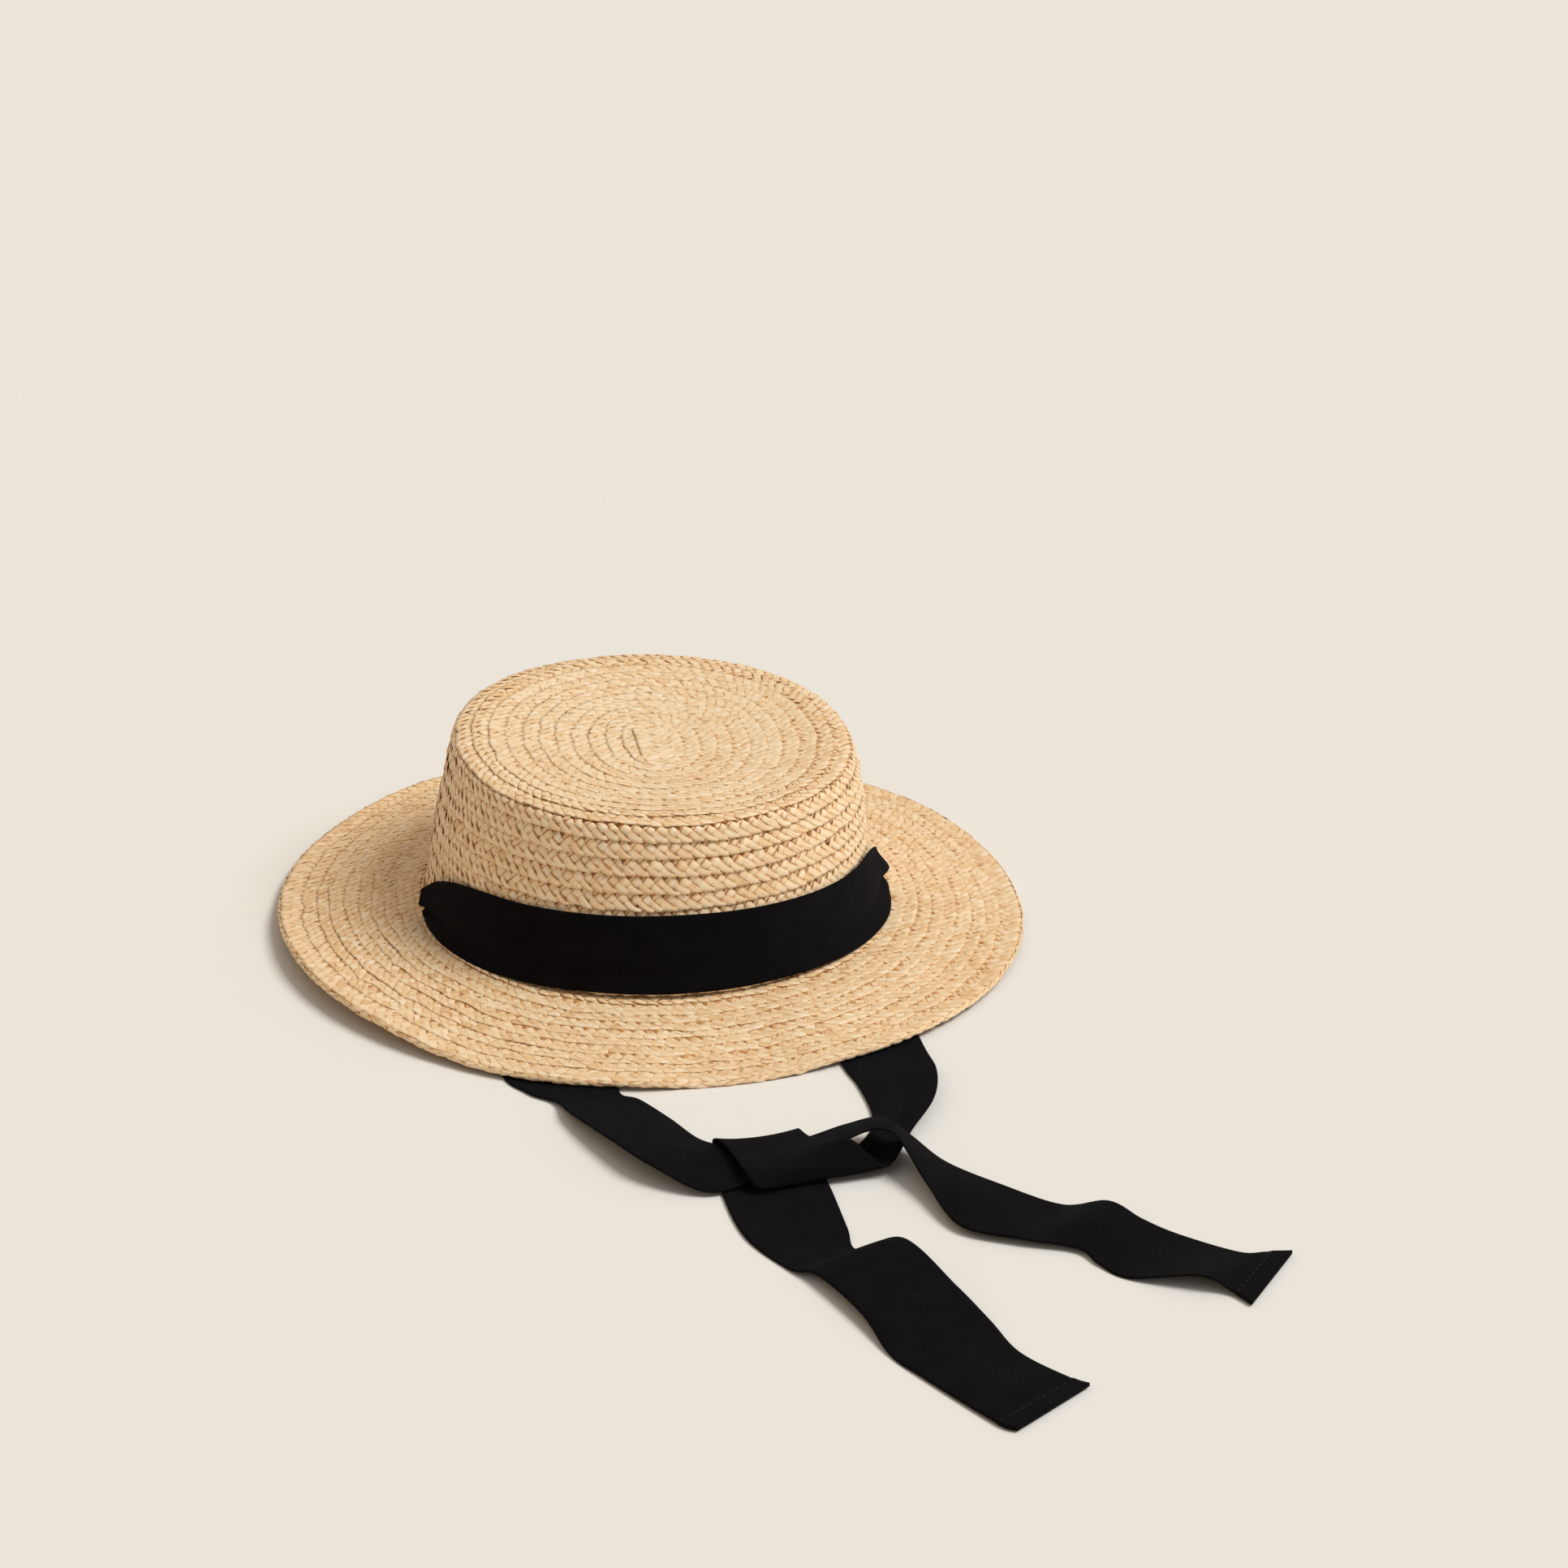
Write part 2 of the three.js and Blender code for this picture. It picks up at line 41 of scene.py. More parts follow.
# Camera and light
CAMERA_AT = (-222.9, -1698.8, 773.0)
CAMERA_LOOKS_AT = (73.6, 121.8, 0.0)
LENS = 108.07
SENSOR = 36.0
CLIP_END = 50.0               # metres
SUN_FROM = (0.55, -0.25, 0.8)
SUN_STRENGTH = 2.25
SUN_ANGLE = 0.5
SKY_FROM = (0.38, -0.35, 0.86)
SKY_STARTS = -0.3             # cosine to SKY_FROM at which the sky begins to brighten
SKY_DIM = (0.5, 0.345, 0.185)
SKY_BRIGHT = (0.42, 0.45, 0.49)
FLOOR_SIZE = 12000.0
FLOOR_Z = -0.15
FLOOR_SHADER = {"Base Color": (0.825, 0.787, 0.715, 1.0), "Roughness": 1.0, "Specular IOR Level": 0.0}

# Oval and profiles of the straw, as half width and height
CORE_HALF_LENGTH = 16.0
CORE_ROUNDING = 0.35
TOP_PROFILE = ((5.6, 73.0), (30, 73.8), (55, 75.4), (68, 76.4), (77.2, 75.3))
SIDE_PROFILE = (
    (77.2, 75.3), (78.7, 71.4), (80.7, 64), (82.7, 54), (84.3, 43), (86.4, 30), (88.2, 18), (90.2, 10.3),
)
PROFILE_POINTS = 600
RING_POINTS = 2881
# The crown leans to the right between two heights, and its top is a little higher at the left and the back
LEAN = 1.4
LEAN_FROM = 34.0
LEAN_TO = 64.0
TILT_RIGHT = -0.0195
TILT_BACK = 0.0054
TILT_FROM = 55.0
TILT_TO = 73.0
TOP_ROWS = 11
SHOULDER_ROWS = 2             # the last rows of the top, which bend over to the side
SIDE_ROWS = 10
UPPER_ROWS = 5                # rows of the side that go into the upper piece
BRIM_INNER_HALF = 87.8
BRIM_WIDTH = 59.5
BRIM_WALL = 2.3
BRIM_INNER_Z = 7.7
BRIM_FALL = 1.25              # above 1, the slope is steeper beside the crown
FLAT_RIM = 0.88               # from this share of its width outwards the brim is level
SLOPE_REACH = 0.5             # the brim's slope is measured this far to each side
# Where the brim's rows end, as half widths of the oval
BRIM_LINES = (87.8, 94.5, 101.2, 106.2, 111.3, 116.3, 121.6, 127.6, 133.1, 138.9, 147.2)
INNER_ROWS = 6                # rows of the brim that go into the inner piece
# Rim round the oval: degrees, height of its underside, how much further out it reaches
RIM = (
    (0, 0.6, -0.9), (12, 0.2, -0.9), (30, 0.4, 0), (60, 0, 0), (100, 0, 0), (123, 3.7, 0), (135, 2.8, 0),
    (146, 2.2, 0), (158, 2.5, 0), (170, 3.2, 0), (181, 5.5, 0), (191, 7, 0), (205, 6.7, 0), (215, 6, 0),
    (221, 4.7, 0.3), (228, 2.9, 0.8), (236, 1.8, 1.8), (245, 1.6, 2.5), (260, 1.6, 2), (269, 0, 0.3),
    (280, 0, 0), (290, 1.8, 0), (308, 2.2, 0), (325, 1.8, 0), (336, 2.3, 0), (347, 1.8, -0.3),
    (360, 0.6, -0.9),
)
RIM_LIFT = 1
RIM_REACH = 2

# Plait: places across a strand with their height and how much painted shade they get, darkest at the edges,
# standing in for the shade where neighbouring strands meet
SECTION = ((1.0, -0.5, 1.0), (0.66, 0.2, 0.36), (0.0, 0.25, 0.0), (-0.66, 0.2, 0.36), (-1.0, -0.5, 1.0))
STEPS = 6                     # points of a strand in each diamond
TURN = 0.3                    # share of the zigzag that its turns round off
FLATNESS = 0.2                # how soon a strand goes from over to under
SKEW_FROM = 0.2               # place across the row, from -1 to 1, where the lower turns begin to lean
SLIM_FROM = 0.4               # place across the row where strands begin to narrow
SLIM_RUN = 0.5
UPPER_TO = 0.5                # place across the row up to which strands are wider
OVER_WIDER = 0.06
PUFF = 0.25                   # how much the relief varies
DOME_VARIES = 0.3
TONE_VARIES = 0.35
FOLD_MOST = 1.2               # how much of a strand may fold round the row's edge
FOLD_BACK = 0.35
TUCK_SPARE = 0.5
WOBBLE_PITCH = 9.0
WARP_PITCH = 14.0
SWAY_WAVES = 5                # slow waves round a row
SWAY_RISE = 0.3
FIBRE_STRETCH = 1.4
FIBRE_SHIFT = 37.0            # keeps the fibres of neighbouring strands apart
LEAF_SHORTEST = 18            # points of a strand between joined leaf strips
LEAF_LONGEST = 110
# Points of a strand between the knots of each random line
DRIFT_REACH = {
    "wander": 5, "puff": 4, "uneven": 9, "thin": 6, "dome": 5, "ragged": 4, "crease": 3, "tone": 7,
}
FEWEST_KNOTS = 4
SLIT_Y = -12.0
SLIT_LOW = 12.5
SLIT_HIGH = 25.0
SLIT_HALF = 1.2
SLIT_OUTSIDE = 70.0
# Looks of the rows: the weave, its heights, its irregularity, then its painted shading. A diamond is one
# crossing along the row, tuck is the part under the row before, and low and high are the heights of that part
# and of the free edge. Edge and under paint shade on the strands' edges and where they pass under others.
# Groove and shade paint shade on the tucked part, standing in for the shadow there. The last key paints whole
# rows lighter or darker, standing in for how fully the light falls on them.
CROWN_LOOK = {
    "strands": 4, "diamond": 4.6, "tuck": 2.8, "full": 1.0, "fold": 0.32, "skew": 1.7,
    "slim": 0.12, "upper": 0.3, "slit": True,
    "low": -1.2, "high": 0.3, "relief": 0.29, "dome": 0.38, "wrap": 0.7, "crease": 0.06,
    "ragged": 0.12, "wander": 0.2, "uneven": 0.12, "thin": 0.15, "sway": 0.16, "wobble": 0.2, "warp": 0.15,
    "edge": 0.78, "under": 0.1, "painted_shade_reach": 0.3, "shade": 0.8, "painted_lighter": 0.8,
}
TOP_LOOK = dict(
    CROWN_LOOK, tuck=3.0, full=1.15, fold=0.2, skew=0.8, slim=0.0, slit=False,
    low=-0.34, high=0.02, relief=0.14, dome=0.17, wrap=0.25, crease=0.03,
    ragged=0.15, wander=0.25, uneven=0.05, thin=0.14, sway=0.2, wobble=0.26, warp=0.1,
    edge=0.55, under=0.08, painted_shade_reach=0.15, shade=0.4, painted_lighter=0.55,
)
SHOULDER_LOOK = dict(TOP_LOOK, low=-0.75, high=0.15, relief=0.28, dome=0.28, edge=0.7, full=1.05, painted_lighter=0.1)
MIDDLE_LOOK = dict(TOP_LOOK, strands=5, low=0.0, high=0.0, tuck=-2.0, painted_lighter=1.0)
BRIM_LOOK = dict(
    CROWN_LOOK, tuck=3.0, full=1.18, fold=0.2, skew=0.8, slim=0.0, slit=False,
    low=-0.42, high=0.06, relief=0.15, dome=0.17, wrap=0.2, crease=0.02,
    ragged=0.15, wander=0.28, uneven=0.04, thin=0.16, sway=0.25, wobble=0.42, warp=0.14,
    edge=0.58, under=0.06, painted_shade_reach=0.15, shade=0.45, painted_lighter=-0.6,
)
EDGE_LOOK = dict(BRIM_LOOK, wobble=0.06, sway=0.04, ragged=0.1, wrap=0.5)
BASE_LOOK = dict(BRIM_LOOK, relief=0.25, dome=0.25, high=0.25, edge=0.8, full=1.0, tuck=2.0)
RIM_LOOK = dict(
    BRIM_LOOK, strands=3, diamond=5.4, tuck=0.25, full=0.95, fold=0.8, skew=0.0,
    low=0.0, high=0.3, relief=0.3, dome=0.4, wrap=0.7,
    ragged=0.3, wander=0.34, sway=0.04, wobble=0.05,
    edge=0.55, painted_shade_reach=0.5, shade=0.2,
)
# Rope round the rim
RIM_ROPE = 3.2
RIM_ROUND = 0.12
RIM_UPRIGHT = 0.72
# Straight braid that the top's spiral starts from; its ends dip under the first row
MIDDLE_LENGTH = 40.0
MIDDLE_WIDTH = 13.0
MIDDLE_Z = 73.45
MIDDLE_OPEN = 12.0
MIDDLE_RUN = 6.0
MIDDLE_DIP = 1.1
MIDDLE_CURVE = 0.004

# Straw: stretches of its noises along and across a strand, their shares of the shade, then its colours
FIBRE_SCALE = (0.12, 13.0, 1.0)
FIBRE_DETAIL = 3.0
SPLIT_SCALE = (0.07, 7.0, 1.0)
SPLIT_DETAIL = 1.0
SPLIT_ABOVE = 0.66
BLOTCH_SCALE = (0.12, 0.6, 1.0)
BLOTCH_DETAIL = 2.0
STRAW_MIDDLE = 0.5
STRAW_TONE = 0.07
STRAW_FIBRE = 0.65
STRAW_BLOTCH = 0.5
# Share of the fibres' noise in the painted shade, so that the painted outlines vary
STRAW_FIBRE_IN_PAINTED_SHADE = 0.5
STRAW_SPLIT = 0.3
STRAW_COLOURS = (
    (0.0, (0.56, 0.28, 0.1)), (1.0, (0.99, 0.87, 0.68)),
    (0.3, (0.83, 0.545, 0.275)), (0.55, (0.93, 0.715, 0.46)),
)
# Colours multiplied in by the light attribute: painted shade at the strands' edges, under crossings and on
# tucked parts, and the real dark splits
STRAW_SPLITS_AND_PAINTED_SHADE = (
    (0.0, (0.22, 0.08, 0.018)), (1.0, (1.0, 1.0, 1.0)),
    (0.38, (0.58, 0.32, 0.11)), (0.7, (0.95, 0.88, 0.76)),
)
STRAW_SMOOTHEST = 0.36
STRAW_ROUGHER = 0.3
STRAW_SHADER = {"Specular IOR Level": 0.5, "Sheen Weight": 0.1, "Sheen Roughness": 0.5}
STRAW_BUMP = {"Strength": 0.35, "Distance": 0.0003}

# Tape
TAPE_THICK = 0.6
TAPE_COLUMNS = 28
TAPE_WIDTH = 38.0
TAPE_STEP = 1.6
ROUGH_POINTS = 40             # points for each row of a table, to measure its length
LYING = 0.45
HEM_LENGTH = 8.0
HEM_THICKER = 0.75
HEM_RUN = 1.2
HEM_STITCH = 7.0
STITCH_PITCH = 3.2
STITCH_LENGTH = 2.2
STITCH_RADIUS = 0.24
STITCH_VARIES = 0.25
STITCH_RINGS = 7
STITCH_SIDES = 6
STITCH_TIP = 0.001            # keeps the ends of a stitch open by a hair
STITCH_COLOUR = (0.022, 0.02, 0.021)
TWILL_PANEL = 19.0
TWILL_TURNS = 7.5
WEFT_TURNS = 15.0
WEFT = 0.25
LINT_SCALE = (0.9, 1.4, 1.0)
LINT_CELLS = 0.5
LINT_SIZE = 0.06
HAZE_SCALE = (0.09, 0.09, 1.0)
HAZE_DETAIL = 4.0
FUZZ_SCALE = (2.4, 2.4, 1.0)
FUZZ_DETAIL = 2.0
TAPE_TWILL = 0.5
TAPE_FUZZ = 0.45
TAPE_HAZE = 0.3
TAPE_LINT = 0.6
# The light bluish end of the tape's colours, reached by lint specks and the twill's ridges, is partly a
# painted highlight on those ridges
TAPE_COLOURS = (
    (0.0, (0.0007, 0.0004, 0.0004)), (1.0, (0.015, 0.0135, 0.0155)), (0.62, (0.0022, 0.0016, 0.0017)),
)
TAPE_SHADER = {
    "Roughness": 0.85, "Specular IOR Level": 0.03,
    "Sheen Weight": 0.02, "Sheen Roughness": 0.45, "Sheen Tint": (0.7, 0.8, 1.0, 1.0),
}
TAPE_BUMP = {"Strength": 0.5, "Distance": 0.0002}
# Band: degrees, lower edge, upper edge, then its distance from the straw at five places across
BAND_ACROSS = (0.0, 0.5, 0.7, 0.85, 1.0)
BAND = (
    (185, 13.4, 22, -1.2, -1.2, -1.2, -1.2, -1.2), (185.4, 12.6, 22.4, 1.8, 2.4, 1.4, 2, 1.6),
    (186.6, 11.6, 23.2, 6.2, 6.2, 1.6, 3.8, 2.6), (189, 10.7, 27.6, 4.4, 5.8, 2.1, 3.5, 2.7),
    (192.5, 10.4, 31.6, 2.8, 4.6, 2.2, 3.2, 2.8), (200, 10.4, 35.9, 1.9, 3.4, 2, 2.8, 3.1),
    (212, 10.4, 39, 1.7, 2.4, 1.9, 2.1, 2.7), (228, 10.9, 40.5, 1.7, 1.9, 1.8, 1.8, 2),
    (246, 11.8, 41.6, 1.7, 1.8, 1.8, 1.8, 1.8), (270, 12, 42.1, 1.7, 1.8, 1.8, 1.8, 1.8),
    (294, 11.8, 41, 1.7, 1.8, 1.8, 1.8, 1.9), (312, 11.1, 39.6, 1.7, 1.9, 1.8, 1.9, 2.6),
    (328, 10.4, 38.1, 1.7, 2.2, 1.9, 2.2, 3.8), (340, 10.4, 37.2, 1.8, 2.7, 2, 2.9, 5),
    (347.5, 10.4, 33.8, 2, 3.6, 1.9, 3.9, 4.7), (351.5, 11, 30.4, 2.4, 5.9, 1.4, 4.6, 4.2),
    (353.6, 12.4, 27, 2.4, 6, 1.2, 3.6, 3), (354.7, 13.4, 25.4, 1.4, 2, 1.2, 1.6, 1.4),
    (355, 14, 25, -1.2, -1.2, -1.2, -1.2, -1.2),
)
# Ties: left selvedge x y z, right selvedge x y z, bulge
TIE_LEFT = (
    (-86.9, -12, 14, -84.6, -12, 28, 0), (-81, -13, 11, -81, -13, 28, 0), (-73, -20, 5, -76, -21, 28, 0),
    (-58, -40, 1, -67, -45, 14, 0), (-52, -64, 1, -72, -72, 4, 0), (-40, -122, 0.7, -75, -133, 0.8, 0),
    (-33.5, -149, 0.7, -67, -154, 0.8, 0), (-33, -162, 1, -57.5, -165, 1.6, 0),
    (-27, -167, 0.9, -54, -182, 5, 0.5), (-18, -184, 0.8, -43, -211, 8, 1), (-10, -203, 1.4, -32, -232, 8, 1),
    (-1, -212.5, 3, -12.7, -245, 2.2, 0), (12, -214.5, 3, 10, -237, 3.2, 0), (26, -211.5, 3, 28, -227, 4, 0),
    (42.5, -208.5, 6, 47, -225, 11.2, 0), (55.5, -210, 8.5, 54.8, -234.5, 14.5, 1),
    (63.5, -220, 6, 58.6, -244.4, 11, 1), (73.4, -236.2, 2.5, 62.3, -259, 6.5, 1),
    (89, -257.3, 3, 69, -285, 3, 1), (108.2, -272, 0.9, 87.6, -297.7, 3, 0),
    (122.5, -281.2, 6, 106, -306, 2, 1), (132.5, -289.6, 2.5, 111, -316, 1, 0.5),
    (143, -300, 1, 119, -327, 0.8, 0), (160.4, -315.6, 0.9, 140.7, -338.6, 6, 0),
    (169.5, -317.6, 1.2, 150.7, -343.4, 2, 0), (178.4, -319.1, 1.4, 155.6, -351.9, 1.2, 0),
)
TIE_RIGHT = (
    (84.6, -12, 28, 86.9, -12, 14, 0), (81, -13, 28, 81, -13, 11, 0), (76, -21, 28, 73, -20, 5, 0),
    (67, -45, 14, 58, -40, 1, 0), (74, -72, 4, 53, -64, 1, 0), (82, -98, 1.6, 51, -94, 0.8, 0),
    (84.2, -141, 0.8, 51, -146, 0.7, 0), (83.8, -167, 4, 54, -168, 0.8, -1),
    (77.8, -191, 5, 55, -190, 0.8, -1), (66, -212, 4.2, 52, -205, 1, -2), (57, -232, 4.6, 42, -222, 2, -1.5),
    (51, -241, 5, 28, -240, 2.6, -1), (46, -238, 8, 13, -246, 2.8, 0), (40, -232, 12, 4, -248, 4, 0),
    (33, -225, 9.5, 1, -241, 6.4, 0), (28, -217, 6.4, -1, -228, 6.2, 0.5),
    (25.5, -208, 5.2, -4, -212.5, 5.2, 1), (25.5, -204.5, 2.9, -6, -207.2, 3, 1.8),
    (26.5, -207, 0.8, -6, -211, 0.8, 0), (30, -240, 0.7, -8, -243, 0.7, 0),
    (31, -276, 0.7, -5, -277, 0.7, 0), (31.5, -293, 1, 6, -302, 0.8, 0), (45.5, -304.8, 10.5, 14, -314, 4, 1),
    (58.5, -333, 6, 24, -342, 4, 1), (66.2, -352, 2.5, 29.4, -365, 0.8, 1), (72, -372, 1.2, 37, -381, 0.8, 1),
    (85, -391, 1.2, 55, -414, 1.2, 0), (90, -396, 1.4, 61, -420, 1.4, 0),
)

rng = np.random.default_rng(SEED)


# Shapes shared with the solids
def oval(angle, half):
    """The hat's oval: a thin ellipse widened evenly, so that every braid row has the same width."""
    c = np.cos(angle)
    s = np.sin(angle)
    root = np.hypot(s, CORE_ROUNDING)
    reach = half - CORE_HALF_LENGTH * CORE_ROUNDING + CORE_HALF_LENGTH * root
    slide = CORE_HALF_LENGTH * s * c / root
    return reach * c - slide * s, reach * s + slide * c


def smooth(f):
    f = np.clip(f, 0.0, 1.0)
    return f * f * (3.0 - 2.0 * f)


def spline(table, at):
    """Uniform Catmull-Rom curve through the rows of a table, at numbers counted in rows."""
    rows = np.asarray(table, float)
    last = len(rows) - 1
    i = np.clip(np.floor(at).astype(int), 0, last - 1)
    f = (np.asarray(at, float) - i)[:, None]
    p0 = rows[np.clip(i - 1, 0, last)]
    p1 = rows[i]
    p2 = rows[i + 1]
    p3 = rows[np.clip(i + 2, 0, last)]
    a = 2 * p1
    b = (p2 - p0) * f
    c = (2 * p0 - 5 * p1 + 4 * p2 - p3) * f ** 2
    d = (3 * p1 - p0 - 3 * p2 + p3) * f ** 3
    return 0.5 * (a + b + c + d)


def lengths(points):
    steps = np.linalg.norm(np.diff(points, axis=0), axis=1)
    return np.concatenate([[0.0], np.cumsum(steps)])


class Profile:
    """A curve of half width and height that can be walked by its length."""

    def __init__(self, table):
        self.points = spline(table, np.linspace(0, len(table) - 1, PROFILE_POINTS))
        self.along = lengths(self.points)
        self.length = self.along[-1]
        slope = np.gradient(self.points, axis=0)
        slope /= np.linalg.norm(slope, axis=1)[:, None]
        self.normal = np.stack([-slope[:, 1], slope[:, 0]], axis=1)

    def at(self, s):
        """Half width, height and normal at a length along the curve, going on past its ends."""
        half = np.interp(s, self.along, self.points[:, 0])
        half += np.minimum(s, 0.0)
        z = np.interp(s, self.along, self.points[:, 1])
        z -= np.maximum(s - self.length, 0.0)
        nh = np.interp(s, self.along, self.normal[:, 0])
        nz = np.interp(s, self.along, self.normal[:, 1])
        return half, z, nh, nz


top = Profile(TOP_PROFILE)
side = Profile(SIDE_PROFILE)
crown = Profile(TOP_PROFILE + SIDE_PROFILE[1:])
side_length = crown.length - top.length


def askew(x, y, z):
    """The crown's lean to the right and the tilt of its top."""
    x = x + LEAN * smooth((z - LEAN_FROM) / (LEAN_TO - LEAN_FROM))
    up = smooth((z - TILT_FROM) / (TILT_TO - TILT_FROM))
    return np.stack([x, y, z + up * (TILT_RIGHT * x + TILT_BACK * y)], axis=-1)


def crown_place(angle, s, h):
    """Places on the crown: s runs from the middle of the top outwards and down, h stands off the straw."""
    half, z, nh, nz = crown.at(s)
    x, y = oval(angle, half + nh * h)
    return askew(x, y, z + nz * h)


def rim_at(angle, column):
    """Smooth value of one of the rim's columns round the oval."""
    table = np.array(RIM, float)
    deg = np.degrees(angle) % 360.0
    i = np.clip(np.searchsorted(table[:, 0], deg, side="right") - 1, 0, len(table) - 2)
    f = smooth((deg - table[i, 0]) / (table[i + 1, 0] - table[i, 0]))
    return table[i, column] + (table[i + 1, column] - table[i, column]) * f


def brim_height(lift, s):
    share = s / BRIM_WIDTH
    slope = np.maximum(0.0, 1.0 - share / FLAT_RIM) ** BRIM_FALL
    return lift + (BRIM_INNER_Z - lift) * slope + BRIM_WALL


def brim_place(angle, s, h):
    """Places on the brim: s runs outwards from the crown, h stands off the straw."""
    lift = rim_at(angle, RIM_LIFT)
    z = brim_height(lift, s)
    fall = brim_height(lift, s + SLOPE_REACH) - brim_height(lift, s - SLOPE_REACH)
    fall = fall / (2.0 * SLOPE_REACH)
    scale = 1.0 / np.hypot(1.0, fall)
    out = s * (1.0 + rim_at(angle, RIM_REACH) / BRIM_WIDTH)
    x, y = oval(angle, BRIM_INNER_HALF + out - fall * scale * h)
    return np.stack([x, y, z + scale * h], axis=-1)


def rim_place(angle, v, h):
    """Places on the rim's edge: v runs down it and h outwards."""
    return brim_place(angle, BRIM_WIDTH + h - RIM_ROUND * v * v, -BRIM_WALL / 2.0 - v * RIM_UPRIGHT)


def middle_place(u, v, h):
    """Places on the straight braid in the middle of the top."""
    y = u - MIDDLE_LENGTH / 2.0
    dip = MIDDLE_DIP * smooth((np.abs(y) - MIDDLE_OPEN) / MIDDLE_RUN)
    return askew(v, y, MIDDLE_Z + h - dip + MIDDLE_CURVE * v * v)


def ring_walk(place, s):
    """Angles round a ring by its length, and that length."""
    angle = np.linspace(0.0, 2.0 * np.pi, RING_POINTS)
    along = lengths(place(angle, np.full_like(angle, s), np.zeros_like(angle)))
    return angle, along


# Meshes from arrays
def mesh_object(name, verts, quads, uv=None, values=None):
    mesh = bpy.data.meshes.new(name)
    mesh.vertices.add(len(verts))
    mesh.vertices.foreach_set("co", (verts * MM).astype(np.float32).ravel())
    mesh.loops.add(quads.size)
    mesh.loops.foreach_set("vertex_index", quads.astype(np.int32).ravel())
    mesh.polygons.add(len(quads))
    mesh.polygons.foreach_set("loop_start", np.arange(0, quads.size, 4, dtype=np.int32))
    mesh.polygons.foreach_set("use_smooth", np.ones(len(quads), bool))
    mesh.update(calc_edges=True)
    if uv is not None:
        layer = mesh.uv_layers.new(name="Along")
        layer.uv.foreach_set("vector", uv.reshape(-1, 2).astype(np.float32).ravel())
    for key, data in (values or {}).items():
        layer = mesh.attributes.new(key, "FLOAT", "POINT")
        layer.data.foreach_set("value", data.astype(np.float32).ravel())
    thing = bpy.data.objects.new(name, mesh)
    bpy.context.scene.collection.objects.link(thing)
    return thing


def drift(count, length, reach):
    """Smooth random values along each of several strands, nothing at both ends."""
    knots = max(FEWEST_KNOTS, length // reach)
    values = rng.normal(0.0, 1.0, (count, knots + 1))
    values[:, 0] = 0.0
    values[:, -1] = 0.0
    at = np.linspace(0.0, knots, length)
    i = np.minimum(at.astype(int), knots - 1)
    f = smooth(at - i)
    return values[:, i] * (1.0 - f) + values[:, i + 1] * f


def wobble(period, pitch):
    """A smooth random line that comes round to where it began."""
    knots = int(period / pitch)
    values = rng.normal(0.0, 1.0, knots)

    def line(u):
        at = (u / period % 1.0) * knots
        i = at.astype(int) % knots
        f = smooth(at - np.floor(at))
        return values[i] * (1.0 - f) + values[(i + 1) % knots] * f

    return line


def patches(count, length, shortest, longest):
    """Random values that stay the same for a stretch of each strand, as where a new leaf strip is laid in."""
    values = np.empty((count, length))
    for k in range(count):
        at = 0
        while at < length:
            stretch = int(rng.integers(shortest, longest))
            values[k, at:at + stretch] = rng.normal()
            at += stretch
    return values


def over_under(q, strands):
    """1 where a strand lies over another and -1 where it lies under it, q diamonds along its zigzag."""
    going = q < strands / 2.0
    leg = np.where(going, q, q - strands / 2.0)
    first = 0.5
    last = strands / 2.0 - 0.5
    inside = 2.0 * np.clip(leg, first, last)
    outside = np.minimum(leg - first, 0.0) + np.maximum(leg - last, 0.0)
    turns = inside + outside + np.where(going, 1.0 - strands, 0.0)
    c = np.cos(np.pi * turns)
    return c * np.sqrt(1.0 + FLATNESS) / np.sqrt(c * c + FLATNESS)


def in_slit(points):
    """Whether points of the crown's wall lie in one of its two slits."""
    x, y, z = points.T
    beside = (np.abs(y - SLIT_Y) < SLIT_HALF) & (np.abs(x) > SLIT_OUTSIDE)
    return beside & (z > SLIT_LOW) & (z < SLIT_HIGH)


